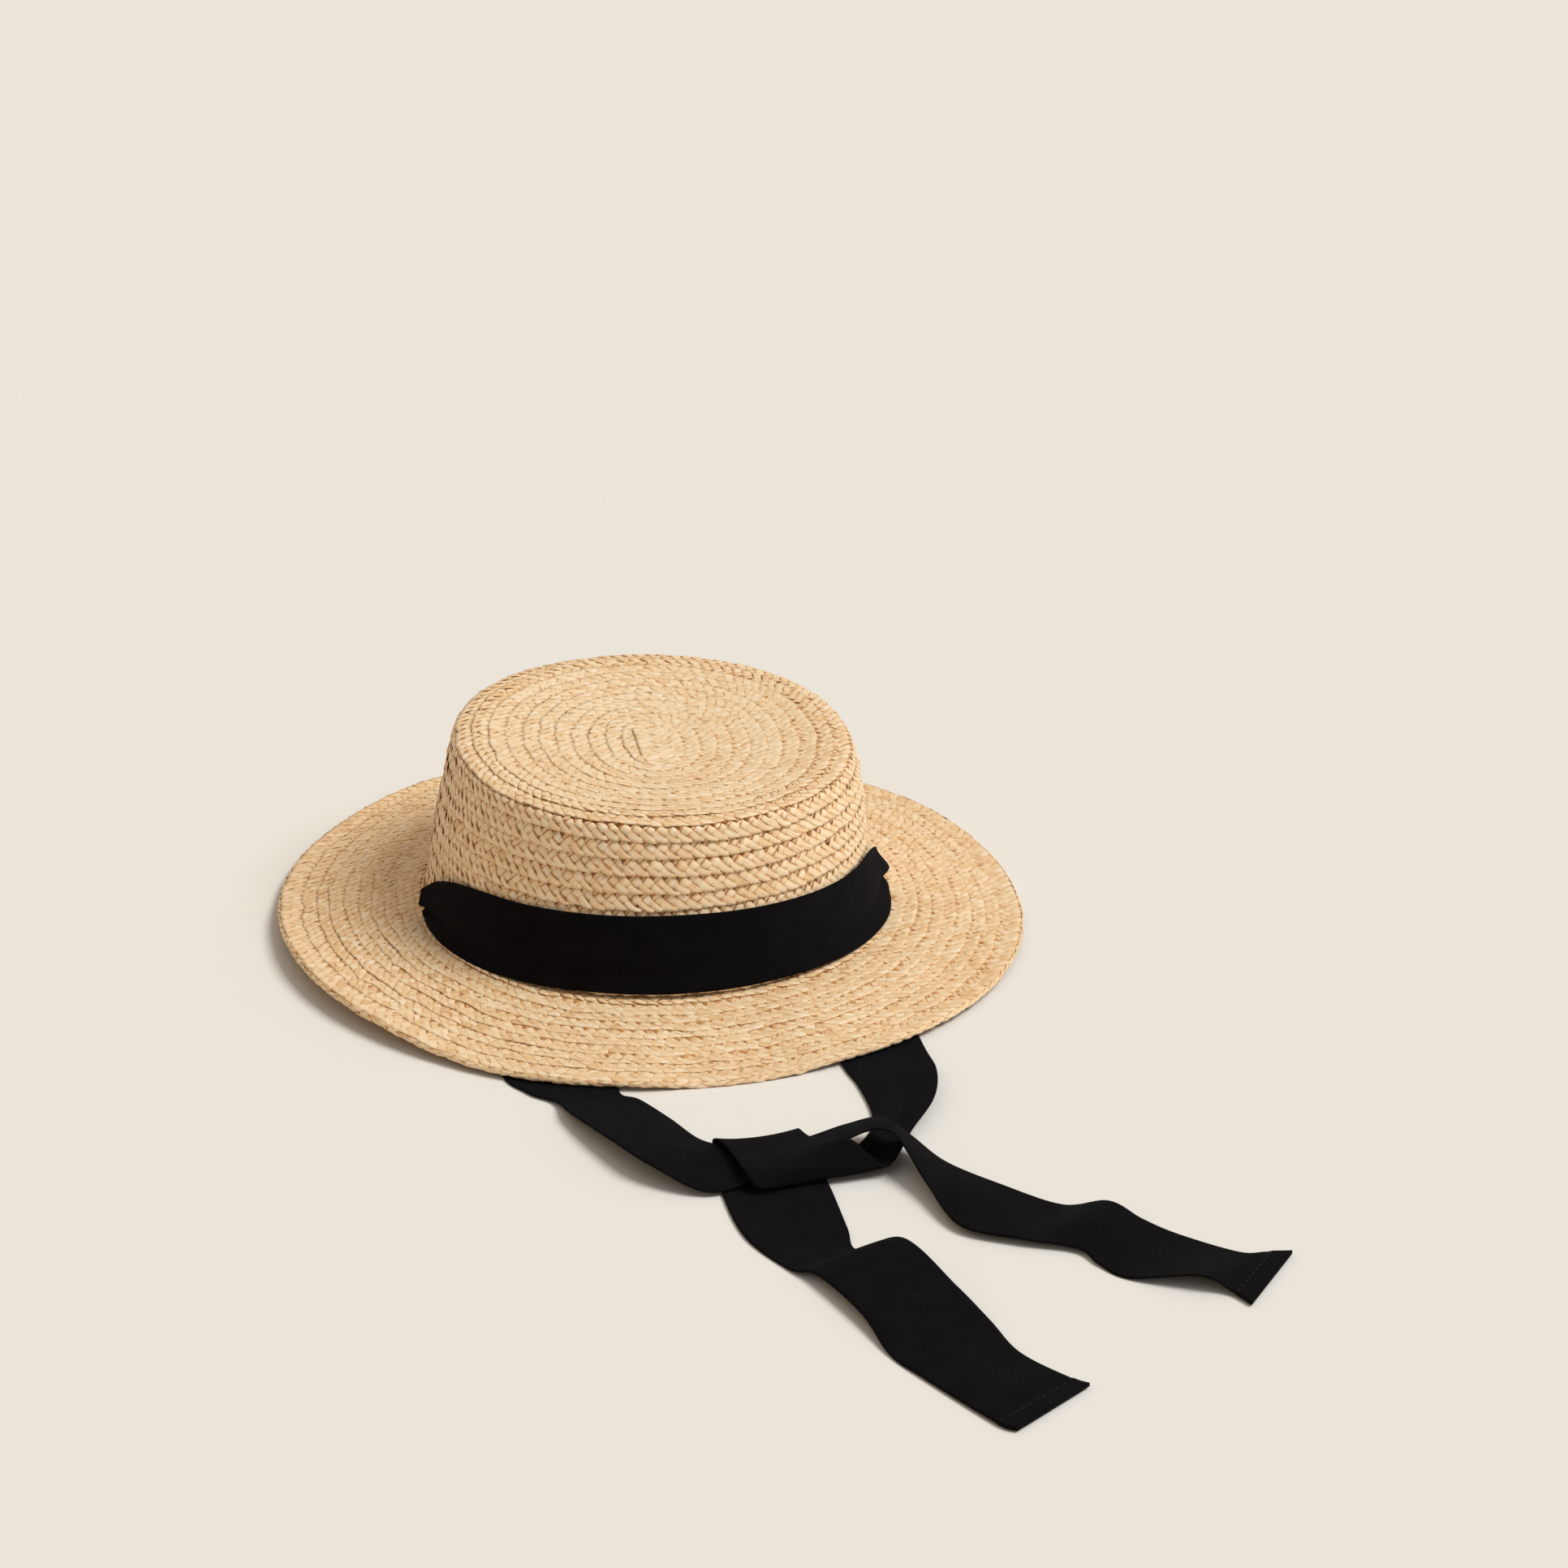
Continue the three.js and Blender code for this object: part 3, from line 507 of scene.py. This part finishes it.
class Braid:
    """The strands of one braid row: each zigzags, and runs on into another where the row closes."""

    def __init__(self, span, width, look, closed):
        diamonds = int(round(span / look["diamond"]))
        self.span = span
        self.width = width
        self.look = look
        self.closed = closed
        self.strands = look["strands"]
        self.step = span / diamonds
        self.steps = diamonds * STEPS
        self.joins = (np.arange(self.strands) + diamonds) % self.strands
        self.number = np.arange(self.strands)[:, None]
        self.point = np.arange(self.steps)[None, :]
        q = (self.point / STEPS + self.number) % self.strands
        rise = q / self.strands * 4.0
        self.across = np.where(rise < 2.0, rise - 1.0, 3.0 - rise)
        self.wave = over_under(q, self.strands)

    def vary(self, what):
        return drift(self.strands, self.steps, DRIFT_REACH[what])

    def middles(self):
        """The strands' middle lines along, across and above the row, and half a strand's width."""
        look = self.look
        turning = np.maximum(np.abs(self.across) - (1.0 - TURN), 0.0)
        rounded = np.abs(self.across) - turning ** 2 / (2.0 * TURN)
        peak = 1.0 - TURN / 2.0
        climb = np.arctan2(self.width / 2.0 / peak * 4.0 / self.strands, self.step)
        half_strand = 0.5 * (self.step * np.sin(climb)) * look["full"]
        v = np.sign(self.across) * rounded * (self.width / 2.0 - look["fold"] * half_strand) / peak
        lean = np.clip((self.across - SKEW_FROM) / (1.0 - SKEW_FROM), 0.0, 1.0) ** 2
        u = self.point * (self.step / STEPS) + look["skew"] * lean
        u = u + self.vary("wander") * look["wander"]
        v = v + self.vary("wander") * look["wander"]
        tilt = look["low"] + (look["high"] - look["low"]) * (v / self.width + 0.5)
        puff = 1.0 + PUFF * self.vary("puff")
        h = tilt + look["relief"] * self.wave * puff + look["uneven"] * self.vary("uneven")
        return u, v, h, half_strand

    def travel(self, line, lap):
        """The way from the point before to the point after, at each point of the strands."""
        ahead = np.concatenate([line[:, 1:], line[self.joins, :1] + lap], axis=1)
        behind = np.concatenate([line[np.argsort(self.joins), -1:] - lap, line[:, :-1]], axis=1)
        if not self.closed:
            ahead[:, -1] = 2 * line[:, -1] - line[:, -2]
            behind[:, 0] = 2 * line[:, 0] - line[:, 1]
        return ahead - behind

    def surface(self, place):
        """Points of the strands' upper faces, and where their middles lie across the row."""
        look = self.look
        u, v, h, half_strand = self.middles()
        along_u = self.travel(u, self.span)
        along_v = self.travel(v, 0.0)
        pace = np.hypot(along_u, along_v)
        wide = half_strand * (1.0 + OVER_WIDER * self.wave) * (1.0 + look["thin"] * self.vary("thin"))
        wide = wide * (1.0 - look["slim"] * smooth((self.across - SLIM_FROM) / SLIM_RUN))
        wide = wide * (1.0 + look["upper"] * smooth(UPPER_TO - self.across))
        dome = look["dome"] * (1.0 + DOME_VARIES * self.vary("dome"))
        limit = self.width / 2.0 + look["ragged"] * self.vary("ragged")
        lines = []
        for aside, height, _ in SECTION:
            side_u = u + aside * wide * along_v / pace
            side_v = v - aside * wide * along_u / pace
            side_h = h + dome * height
            if height > 0.0:
                side_h = side_h + look["crease"] * self.vary("crease")
            beyond = np.clip(np.abs(side_v) - limit, 0.0, FOLD_MOST)
            side_v = np.sign(side_v) * (np.minimum(np.abs(side_v), limit) - FOLD_BACK * beyond)
            lines.append(place(side_u, side_v, side_h - look["wrap"] * beyond))
        return np.stack(lines, axis=2), v

    def faces(self):
        """Corners of the faces between those points, and their places along and across a strand."""
        columns = len(SECTION)
        index = np.arange(self.strands * self.steps * columns).reshape(self.strands, self.steps, columns)
        here = index
        after = np.concatenate([index[:, 1:], index[self.joins, :1]], axis=1)
        if not self.closed:
            here = index[:, :-1]
            after = index[:, 1:]
        stride = self.step / STEPS * FIBRE_STRETCH
        start = np.arange(here.shape[1])[None, :] * stride + self.number * FIBRE_SHIFT
        end = start + stride
        quads = []
        uv = []
        for c in range(columns - 1):
            around = (here[..., c], here[..., c + 1], after[..., c + 1], after[..., c])
            quads.append(np.stack(around, axis=-1))
            low = np.full_like(start, 0.5 - 0.5 * SECTION[c][0])
            high = np.full_like(start, 0.5 - 0.5 * SECTION[c + 1][0])
            corners = ((start, low), (start, high), (end, high), (end, low))
            uv.append(np.stack([np.stack(corner, axis=-1) for corner in corners], axis=-2))
        return np.stack(quads, axis=2).reshape(-1, 4), np.stack(uv, axis=2).reshape(-1, 4, 2)

    def shades(self, v):
        """Tone of each point's leaf strip, with whole rows painted lighter or darker, and its light: painted
        shade, less at edges, where it passes under and where it is tucked under.
        """
        look = self.look
        leaves = patches(self.strands, self.steps, LEAF_SHORTEST, LEAF_LONGEST)
        # The look's lightness paints whole rows lighter or darker, standing in for how fully the light falls
        # on them; the leaf patches and drift are the strips' own tone
        tone = look["painted_lighter"] + leaves + TONE_VARIES * self.vary("tone")
        # Painted shade on the part tucked under the row before, standing in for that row's shadow
        painted_tuck_shade = smooth((look["tuck"] - TUCK_SPARE - (v + self.width / 2.0)) / look["painted_shade_reach"] + 1.0)
        painted_tuck_shade = painted_tuck_shade * look["shade"]
        # Painted shade where a strand passes under another, standing in for the shadow of the strand over it
        under = look["under"] * (0.5 - 0.5 * self.wave)
        # Painted shade at the strands' edges, from the section's last column
        painted_shade = np.stack([look["edge"] * edge + under + painted_tuck_shade for _, _, edge in SECTION], axis=2)
        return np.repeat(tone.reshape(-1), len(SECTION)), 1.0 - np.clip(painted_shade, 0.0, 1.0).reshape(-1)


class Plait:
    """Collects the strands of several braid rows into one mesh."""

    def __init__(self):
        self.verts = []
        self.quads = []
        self.uv = []
        self.tone = []
        self.light = []
        self.count = 0

    def row(self, place, span, width, look, closed=True):
        """Adds one braid of the length span: place(u, v, h) gives the points along, across and above it."""
        braid = Braid(span, width, look, closed)
        points, v = braid.surface(place)
        quads, uv = braid.faces()
        tone, light = braid.shades(v)
        verts = points.reshape(-1, 3)
        if look["slit"]:
            kept = ~in_slit(verts[quads].mean(axis=1))
            quads = quads[kept]
            uv = uv[kept]
        self.verts.append(verts)
        self.quads.append(quads + self.count)
        self.uv.append(uv)
        self.tone.append(tone)
        self.light.append(light)
        self.count += len(verts)

    def ring(self, place, s, width, look):
        """Adds one braid round the hat: s is its middle on the way outwards and down."""
        angle, along = ring_walk(place, s)
        girth = along[-1]
        offset = rng.uniform(0.0, girth)
        aside = wobble(girth, WOBBLE_PITCH)
        lift = wobble(girth, WARP_PITCH)
        number = np.arange(1, SWAY_WAVES + 1)
        size = rng.normal(0.0, 1.0, SWAY_WAVES) * look["sway"] / number
        shift = rng.uniform(0.0, 2.0 * np.pi, SWAY_WAVES)

        def on_ring(u, v, h):
            a = np.interp((u + offset) % girth, along, angle)
            sway = sum(size[i] * np.sin((number[i] + 1) * a + shift[i]) for i in range(SWAY_WAVES))
            lower = np.clip(v / width + 0.5, 0.0, 1.0)
            out = s + v + sway + look["wobble"] * aside(u)
            up = h + SWAY_RISE * sway + look["warp"] * lower * np.maximum(lift(u), 0.0)
            return place(a, out, up)

        self.row(on_ring, girth, width, look)

    def make(self, name, material):
        verts = np.concatenate(self.verts)
        quads = np.concatenate(self.quads)
        used, where = np.unique(quads, return_inverse=True)
        values = {"tone": np.concatenate(self.tone)[used], "light": np.concatenate(self.light)[used]}
        thing = mesh_object(name, verts[used], where.reshape(-1, 4), np.concatenate(self.uv), values)
        thing.data.materials.append(material)
        return thing


# Materials
def node_material(name, settings):
    """A material whose shader has these constant settings, with its node tree and that shader."""
    material = bpy.data.materials.new(name)
    material.use_nodes = True
    tree = material.node_tree
    shader = tree.nodes["Principled BSDF"]
    for key, value in settings.items():
        shader.inputs[key].default_value = value
    return material, tree, shader


def add(tree, kind, inputs=None, **settings):
    """Adds a node: an input is linked where its value is another node's output, and set otherwise."""
    node = tree.nodes.new(kind)
    for key, value in settings.items():
        setattr(node, key, value)
    for key, value in (inputs or {}).items():
        if hasattr(value, "is_output"):
            tree.links.new(value, node.inputs[key])
        else:
            node.inputs[key].default_value = value
    return node


def ramp(tree, factor, stops):
    """Colours along a ramp; the first two stops are its two ends."""
    node = add(tree, "ShaderNodeValToRGB", {"Fac": factor})
    elements = node.color_ramp.elements
    for i, (place, colour) in enumerate(stops):
        element = elements[i] if i < 2 else elements.new(place)
        element.position = place
        element.color = (*colour, 1.0)
    return node.outputs["Color"]


def maths(tree, operation, a, b=0.0, c=0.0):
    return add(tree, "ShaderNodeMath", {0: a, 1: b, 2: c}, operation=operation).outputs[0]


def more(tree, value, share, base):
    """The base value with a share of another one added."""
    return maths(tree, "MULTIPLY_ADD", value, share, base)


def more_or_less(tree, value, share, base):
    """The base value with a share of a noise about its middle added."""
    return more(tree, maths(tree, "SUBTRACT", value, 0.5), share, base)


def stretched(tree, vector, stretch):
    return add(tree, "ShaderNodeMapping", {"Vector": vector, "Scale": stretch}).outputs["Vector"]


def noise(tree, vector, stretch, detail):
    at = stretched(tree, vector, stretch)
    return add(tree, "ShaderNodeTexNoise", {"Vector": at, "Scale": 1.0, "Detail": detail}).outputs["Fac"]


def attribute(tree, name):
    return add(tree, "ShaderNodeAttribute", attribute_name=name).outputs["Fac"]


def place_on_strip(tree):
    return add(tree, "ShaderNodeUVMap", uv_map="Along").outputs["UV"]


def mix(tree, kind, factor, first, second):
    inputs = {0: factor, 6: first, 7: second}
    return add(tree, "ShaderNodeMix", inputs, data_type="RGBA", blend_type=kind).outputs[2]


def link_bump(tree, shader, height, settings):
    bump = add(tree, "ShaderNodeBump", {"Height": height, **settings})
    tree.links.new(bump.outputs["Normal"], shader.inputs["Normal"])


def straw_material():
    """Leaf strips with fibres, splits and blotches; their edges, the parts under a crossing strand and the
    tucked parts are painted browner, standing in for their shade.
    """
    material, tree, shader = node_material("straw", STRAW_SHADER)
    uv = place_on_strip(tree)
    fibre = noise(tree, uv, FIBRE_SCALE, FIBRE_DETAIL)
    split = maths(tree, "GREATER_THAN", noise(tree, uv, SPLIT_SCALE, SPLIT_DETAIL), SPLIT_ABOVE)
    blotch = noise(tree, uv, BLOTCH_SCALE, BLOTCH_DETAIL)
    # The tone attribute holds the strips' own tone and the rows' painted lightness
    shade = more(tree, attribute(tree, "tone"), STRAW_TONE, STRAW_MIDDLE)
    shade = more_or_less(tree, fibre, STRAW_FIBRE, shade)
    shade = more_or_less(tree, blotch, STRAW_BLOTCH, shade)
    # Painted shade from the light attribute, varied by the fibres, then the real dark splits
    light = more_or_less(tree, fibre, STRAW_FIBRE_IN_PAINTED_SHADE, attribute(tree, "light"))
    light = more(tree, split, -STRAW_SPLIT, light)
    colour = mix(tree, "MULTIPLY", 1.0, ramp(tree, shade, STRAW_COLOURS), ramp(tree, light, STRAW_SPLITS_AND_PAINTED_SHADE))
    tree.links.new(colour, shader.inputs["Base Color"])
    tree.links.new(more(tree, fibre, STRAW_ROUGHER, STRAW_SMOOTHEST), shader.inputs["Roughness"])
    link_bump(tree, shader, fibre, STRAW_BUMP)
    return material


def tape_material():
    """Herringbone tape with haze, fuzz and specks of lint; the hem's stitches have their own colour."""
    material, tree, shader = node_material("black_tape", TAPE_SHADER)
    uv = place_on_strip(tree)
    places = add(tree, "ShaderNodeSeparateXYZ", {"Vector": uv})
    along = places.outputs["X"]
    zigzag = maths(tree, "PINGPONG", places.outputs["Y"], TWILL_PANEL)
    slant = maths(tree, "MULTIPLY", maths(tree, "ADD", along, zigzag), TWILL_TURNS)
    twill = more(tree, maths(tree, "SINE", slant), 0.5, 0.5)
    weft = more(tree, maths(tree, "SINE", maths(tree, "MULTIPLY", along, WEFT_TURNS)), WEFT, WEFT)
    lint_at = stretched(tree, uv, LINT_SCALE)
    lint_cells = add(tree, "ShaderNodeTexVoronoi", {"Vector": lint_at, "Scale": LINT_CELLS}, feature="F1")
    lint = maths(tree, "LESS_THAN", lint_cells.outputs["Distance"], LINT_SIZE)
    haze = noise(tree, uv, HAZE_SCALE, HAZE_DETAIL)
    fuzz = noise(tree, uv, FUZZ_SCALE, FUZZ_DETAIL)
    shade = more(tree, twill, TAPE_TWILL, maths(tree, "MULTIPLY", fuzz, TAPE_FUZZ))
    shade = more(tree, haze, TAPE_HAZE, shade)
    shade = more(tree, lint, TAPE_LINT, shade)
    cloth = ramp(tree, shade, TAPE_COLOURS)
    colour = mix(tree, "MIX", attribute(tree, "thread"), cloth, (*STITCH_COLOUR, 1.0))
    tree.links.new(colour, shader.inputs["Base Color"])
    link_bump(tree, shader, maths(tree, "ADD", twill, maths(tree, "ADD", weft, fuzz)), TAPE_BUMP)
    return material


# Tape strips
def even_places(middle, rows):
    """Numbers counted in rows at even steps along a line, and the length that each has come to."""
    along = lengths(middle)
    run = np.linspace(0.0, along[-1], int(along[-1] / TAPE_STEP))
    return np.interp(run, along, np.linspace(0, rows - 1, len(along))), run


def tie_grid(table):
    """Points along and across a tie, and the length that each row of them has come to."""
    rough = spline(table, np.linspace(0, len(table) - 1, ROUGH_POINTS * len(table)))
    at, run = even_places((rough[:, 0:3] + rough[:, 3:6]) / 2.0, len(table))
    rows = spline(table, at)
    left = rows[:, None, 0:3]
    right = rows[:, None, 3:6]
    bow = rows[:, 6]
    f = np.linspace(0.0, 1.0, TAPE_COLUMNS + 1)[None, :, None]
    travel = np.gradient((left + right)[:, 0], axis=0)
    face = np.cross((right - left)[:, 0], travel)
    face /= np.linalg.norm(face, axis=1)[:, None]
    grid = left + (right - left) * f + (4.0 * bow[:, None, None] * f * (1.0 - f)) * face[:, None, :]
    grid[..., 2] = np.maximum(grid[..., 2], LYING)
    return grid, run


def band_points(rows):
    """Points across the band for rows of the band's table: from the upper edge to the lower one."""
    f = np.linspace(0.0, 1.0, TAPE_COLUMNS + 1)
    i = np.clip(np.searchsorted(BAND_ACROSS, f, side="right") - 1, 0, len(BAND_ACROSS) - 2)
    knots = np.array(BAND_ACROSS)
    share = smooth((f - knots[i]) / (knots[i + 1] - knots[i]))
    away = rows[:, 3 + i] * (1.0 - share) + rows[:, 4 + i] * share
    z = rows[:, 2:3] + (rows[:, 1:2] - rows[:, 2:3]) * f
    half = np.interp(-z, -side.points[:, 1], side.points[:, 0])
    x, y = oval(np.radians(rows[:, 0:1]), half + away)
    return askew(x, y, z)


def band_grid():
    rough = band_points(spline(BAND, np.linspace(0, len(BAND) - 1, ROUGH_POINTS * len(BAND))))
    at, run = even_places(rough[:, TAPE_COLUMNS // 2], len(BAND))
    return band_points(spline(BAND, at)), run


def stitches(grid, normal, run, height):
    """Short thread loops in a line across a hem, on the upper face."""
    row = int(np.argmin(np.abs(run - (run[-1] - HEM_STITCH))))
    line = grid[row] + normal[row] * height
    along = lengths(line)
    count = int(along[-1] / STITCH_PITCH)
    centres = (np.arange(count) + 0.5) * along[-1] / count
    rings = np.linspace(-1.0, 1.0, STITCH_RINGS)
    turns = np.linspace(0.0, 2.0 * np.pi, STITCH_SIDES + 1)[:-1]
    verts = []
    for centre in centres + rng.uniform(-STITCH_VARIES, STITCH_VARIES, count):
        at = centre + rings * STITCH_LENGTH / 2.0
        middle = np.stack([np.interp(at, along, line[:, i]) for i in range(3)], axis=1)
        up = np.stack([np.interp(at, along, normal[row][:, i]) for i in range(3)], axis=1)
        aside = np.cross(np.gradient(middle, axis=0), up)
        aside /= np.linalg.norm(aside, axis=1)[:, None]
        round_it = np.sqrt(1.0 + STITCH_TIP - rings ** 2)[:, None, None]
        loop = aside[:, None] * np.cos(turns)[None, :, None] + up[:, None] * np.sin(turns)[None, :, None]
        verts.append((middle[:, None] + STITCH_RADIUS * round_it * loop).reshape(-1, 3))
    index = np.arange(len(rings) * len(turns)).reshape(len(rings), len(turns))
    beside = np.roll(index, -1, axis=1)
    faces = np.stack([index[:-1], beside[:-1], beside[1:], index[1:]], axis=-1).reshape(-1, 4)
    quads = np.concatenate([faces + i * index.size for i in range(count)])
    return np.concatenate(verts), quads


def tape_object(name, grid, run, hem):
    """A closed strip of tape round a grid of points, with a stitched hem at its end where hem is set."""
    stations, columns = grid.shape[:2]
    normal = np.cross(np.gradient(grid, axis=1), np.gradient(grid, axis=0))
    normal /= np.linalg.norm(normal, axis=-1)[..., None]
    thick = np.full((stations, columns), TAPE_THICK)
    if hem:
        thick += (HEM_THICKER * smooth((run - (run[-1] - HEM_LENGTH)) / HEM_RUN))[:, None]
    above = grid + normal * (thick / 2.0)[..., None]
    below = grid - normal * (thick / 2.0)[..., None]
    verts = np.concatenate([above.reshape(-1, 3), below.reshape(-1, 3)])
    index = np.arange(stations * columns).reshape(stations, columns)
    under = index + stations * columns

    def faces(a, b, c, d):
        return np.stack([a, b, c, d], axis=-1).reshape(-1, 4)

    quads = np.concatenate([
        faces(index[:-1, :-1], index[:-1, 1:], index[1:, 1:], index[1:, :-1]),
        faces(under[:-1, :-1], under[1:, :-1], under[1:, 1:], under[:-1, 1:]),
        faces(index[:-1, 0], index[1:, 0], under[1:, 0], under[:-1, 0]),
        faces(index[:-1, -1], under[:-1, -1], under[1:, -1], index[1:, -1]),
        faces(index[0, :-1], under[0, :-1], under[0, 1:], index[0, 1:]),
        faces(index[-1, :-1], index[-1, 1:], under[-1, 1:], under[-1, :-1]),
    ])
    u = np.repeat(run[:, None], columns, axis=1)
    v = np.repeat(np.linspace(0, TAPE_WIDTH, columns)[None, :], stations, axis=0)
    uv = np.stack([u, v], axis=-1).reshape(-1, 2)
    uv = np.concatenate([uv, uv])
    thread = np.zeros(len(verts))
    if hem:
        for sign in (1.0, -1.0):
            loops, loop_quads = stitches(grid, normal * sign, run, (TAPE_THICK + HEM_THICKER) / 2.0)
            quads = np.concatenate([quads, loop_quads + len(verts)])
            verts = np.concatenate([verts, loops])
            uv = np.concatenate([uv, np.full((len(loops), 2), 0.5)])
            thread = np.concatenate([thread, np.ones(len(loops))])
    thing = mesh_object(name, verts, quads, uv[quads], {"thread": thread})
    thing.data.materials.append(tape)
    return thing


# Straw
straw = straw_material()
tape = tape_material()
top_pitch = top.length / TOP_ROWS
side_pitch = side_length / SIDE_ROWS
brim_rows = len(BRIM_LINES) - 1
pieces = {}

plait = Plait()
overlap = TOP_LOOK["tuck"]
for i in range(TOP_ROWS):
    look = SHOULDER_LOOK if i >= TOP_ROWS - SHOULDER_ROWS else TOP_LOOK
    plait.ring(crown_place, (i + 0.5) * top_pitch - overlap / 2, top_pitch + overlap, look)
plait.row(middle_place, MIDDLE_LENGTH, MIDDLE_WIDTH, MIDDLE_LOOK, closed=False)
pieces["crown_top_plait"] = (plait, "crown")

overlap = CROWN_LOOK["tuck"]
for name, rows in (
    ("crown_upper_plait", range(0, UPPER_ROWS)), ("crown_lower_plait", range(UPPER_ROWS, SIDE_ROWS)),
):
    plait = Plait()
    for i in rows:
        middle = top.length + (i + 0.5) * side_pitch - overlap / 2
        plait.ring(crown_place, middle, side_pitch + overlap, CROWN_LOOK)
    pieces[name] = (plait, "crown")

for name, rows in (
    ("brim_inner_plait", range(0, INNER_ROWS)), ("brim_outer_plait", range(INNER_ROWS, brim_rows)),
):
    plait = Plait()
    for i in rows:
        look = {0: BASE_LOOK, brim_rows - 1: EDGE_LOOK}.get(i, BRIM_LOOK)
        start = BRIM_LINES[i] - look["tuck"] - BRIM_INNER_HALF
        end = BRIM_LINES[i + 1] - BRIM_INNER_HALF
        plait.ring(brim_place, (start + end) / 2.0, end - start, look)
    pieces[name] = (plait, "brim")
plait.ring(rim_place, 0.0, RIM_ROPE, RIM_LOOK)

for name, (plait, node) in pieces.items():
    thing = plait.make(name, straw)
    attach(thing, "root")
    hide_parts(node)

# Tape
left_grid, left_run = tie_grid(TIE_LEFT)
right_grid, right_run = tie_grid(TIE_RIGHT)
ribbon_grid, ribbon_run = band_grid()
band = tape_object("band_tape", ribbon_grid, ribbon_run, False)
left_tie = tape_object("left_tie_tape", left_grid, left_run, True)
right_tie = tape_object("right_tie_tape", right_grid, right_run, True)
for thing, node in ((band, "hat_band"), (left_tie, "tie_left"), (right_tie, "tie_right")):
    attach(thing, "root")
    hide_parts(node)

# Floor, light and camera
size = FLOOR_SIZE / 2.0
corners = np.array([(x * size, y * size, FLOOR_Z) for x, y in ((-1, -1), (1, -1), (1, 1), (-1, 1))])
floor = mesh_object("floor", corners, np.array([[0, 1, 2, 3]]))
floor.data.materials.append(node_material("floor_paper", FLOOR_SHADER)[0])

world = bpy.data.worlds.new("studio")
bpy.context.scene.world = world
world.use_nodes = True
background = world.node_tree.nodes["Background"]
looking = add(world.node_tree, "ShaderNodeTexCoord").outputs["Generated"]
facing = add(world.node_tree, "ShaderNodeVectorMath", {0: looking, 1: SKY_FROM}, operation="DOT_PRODUCT")
share = add(world.node_tree, "ShaderNodeMapRange", {
    "Value": facing.outputs["Value"], "From Min": SKY_STARTS, "From Max": 1.0,
}, interpolation_type="SMOOTHSTEP")
sky = ramp(world.node_tree, share.outputs["Result"], ((0.0, SKY_DIM), (1.0, SKY_BRIGHT)))
world.node_tree.links.new(sky, background.inputs["Color"])
background.inputs["Strength"].default_value = 1.0

sun_data = bpy.data.lights.new("key", "SUN")
sun_data.energy = SUN_STRENGTH
sun_data.angle = SUN_ANGLE
sun = bpy.data.objects.new("key", sun_data)
sun.rotation_euler = Vector(SUN_FROM).to_track_quat("Z", "Y").to_euler()
bpy.context.scene.collection.objects.link(sun)

camera_data = bpy.data.cameras.new("camera")
camera_data.lens = LENS
camera_data.sensor_width = SENSOR
camera_data.sensor_fit = "HORIZONTAL"
camera_data.clip_end = CLIP_END
camera = bpy.data.objects.new("camera", camera_data)
camera.location = Vector(CAMERA_AT) * MM
camera.rotation_euler = (Vector(CAMERA_AT) - Vector(CAMERA_LOOKS_AT)).to_track_quat("Z", "Y").to_euler()
bpy.context.scene.collection.objects.link(camera)
bpy.context.scene.camera = camera
bpy.context.scene.view_settings.view_transform = "Standard"
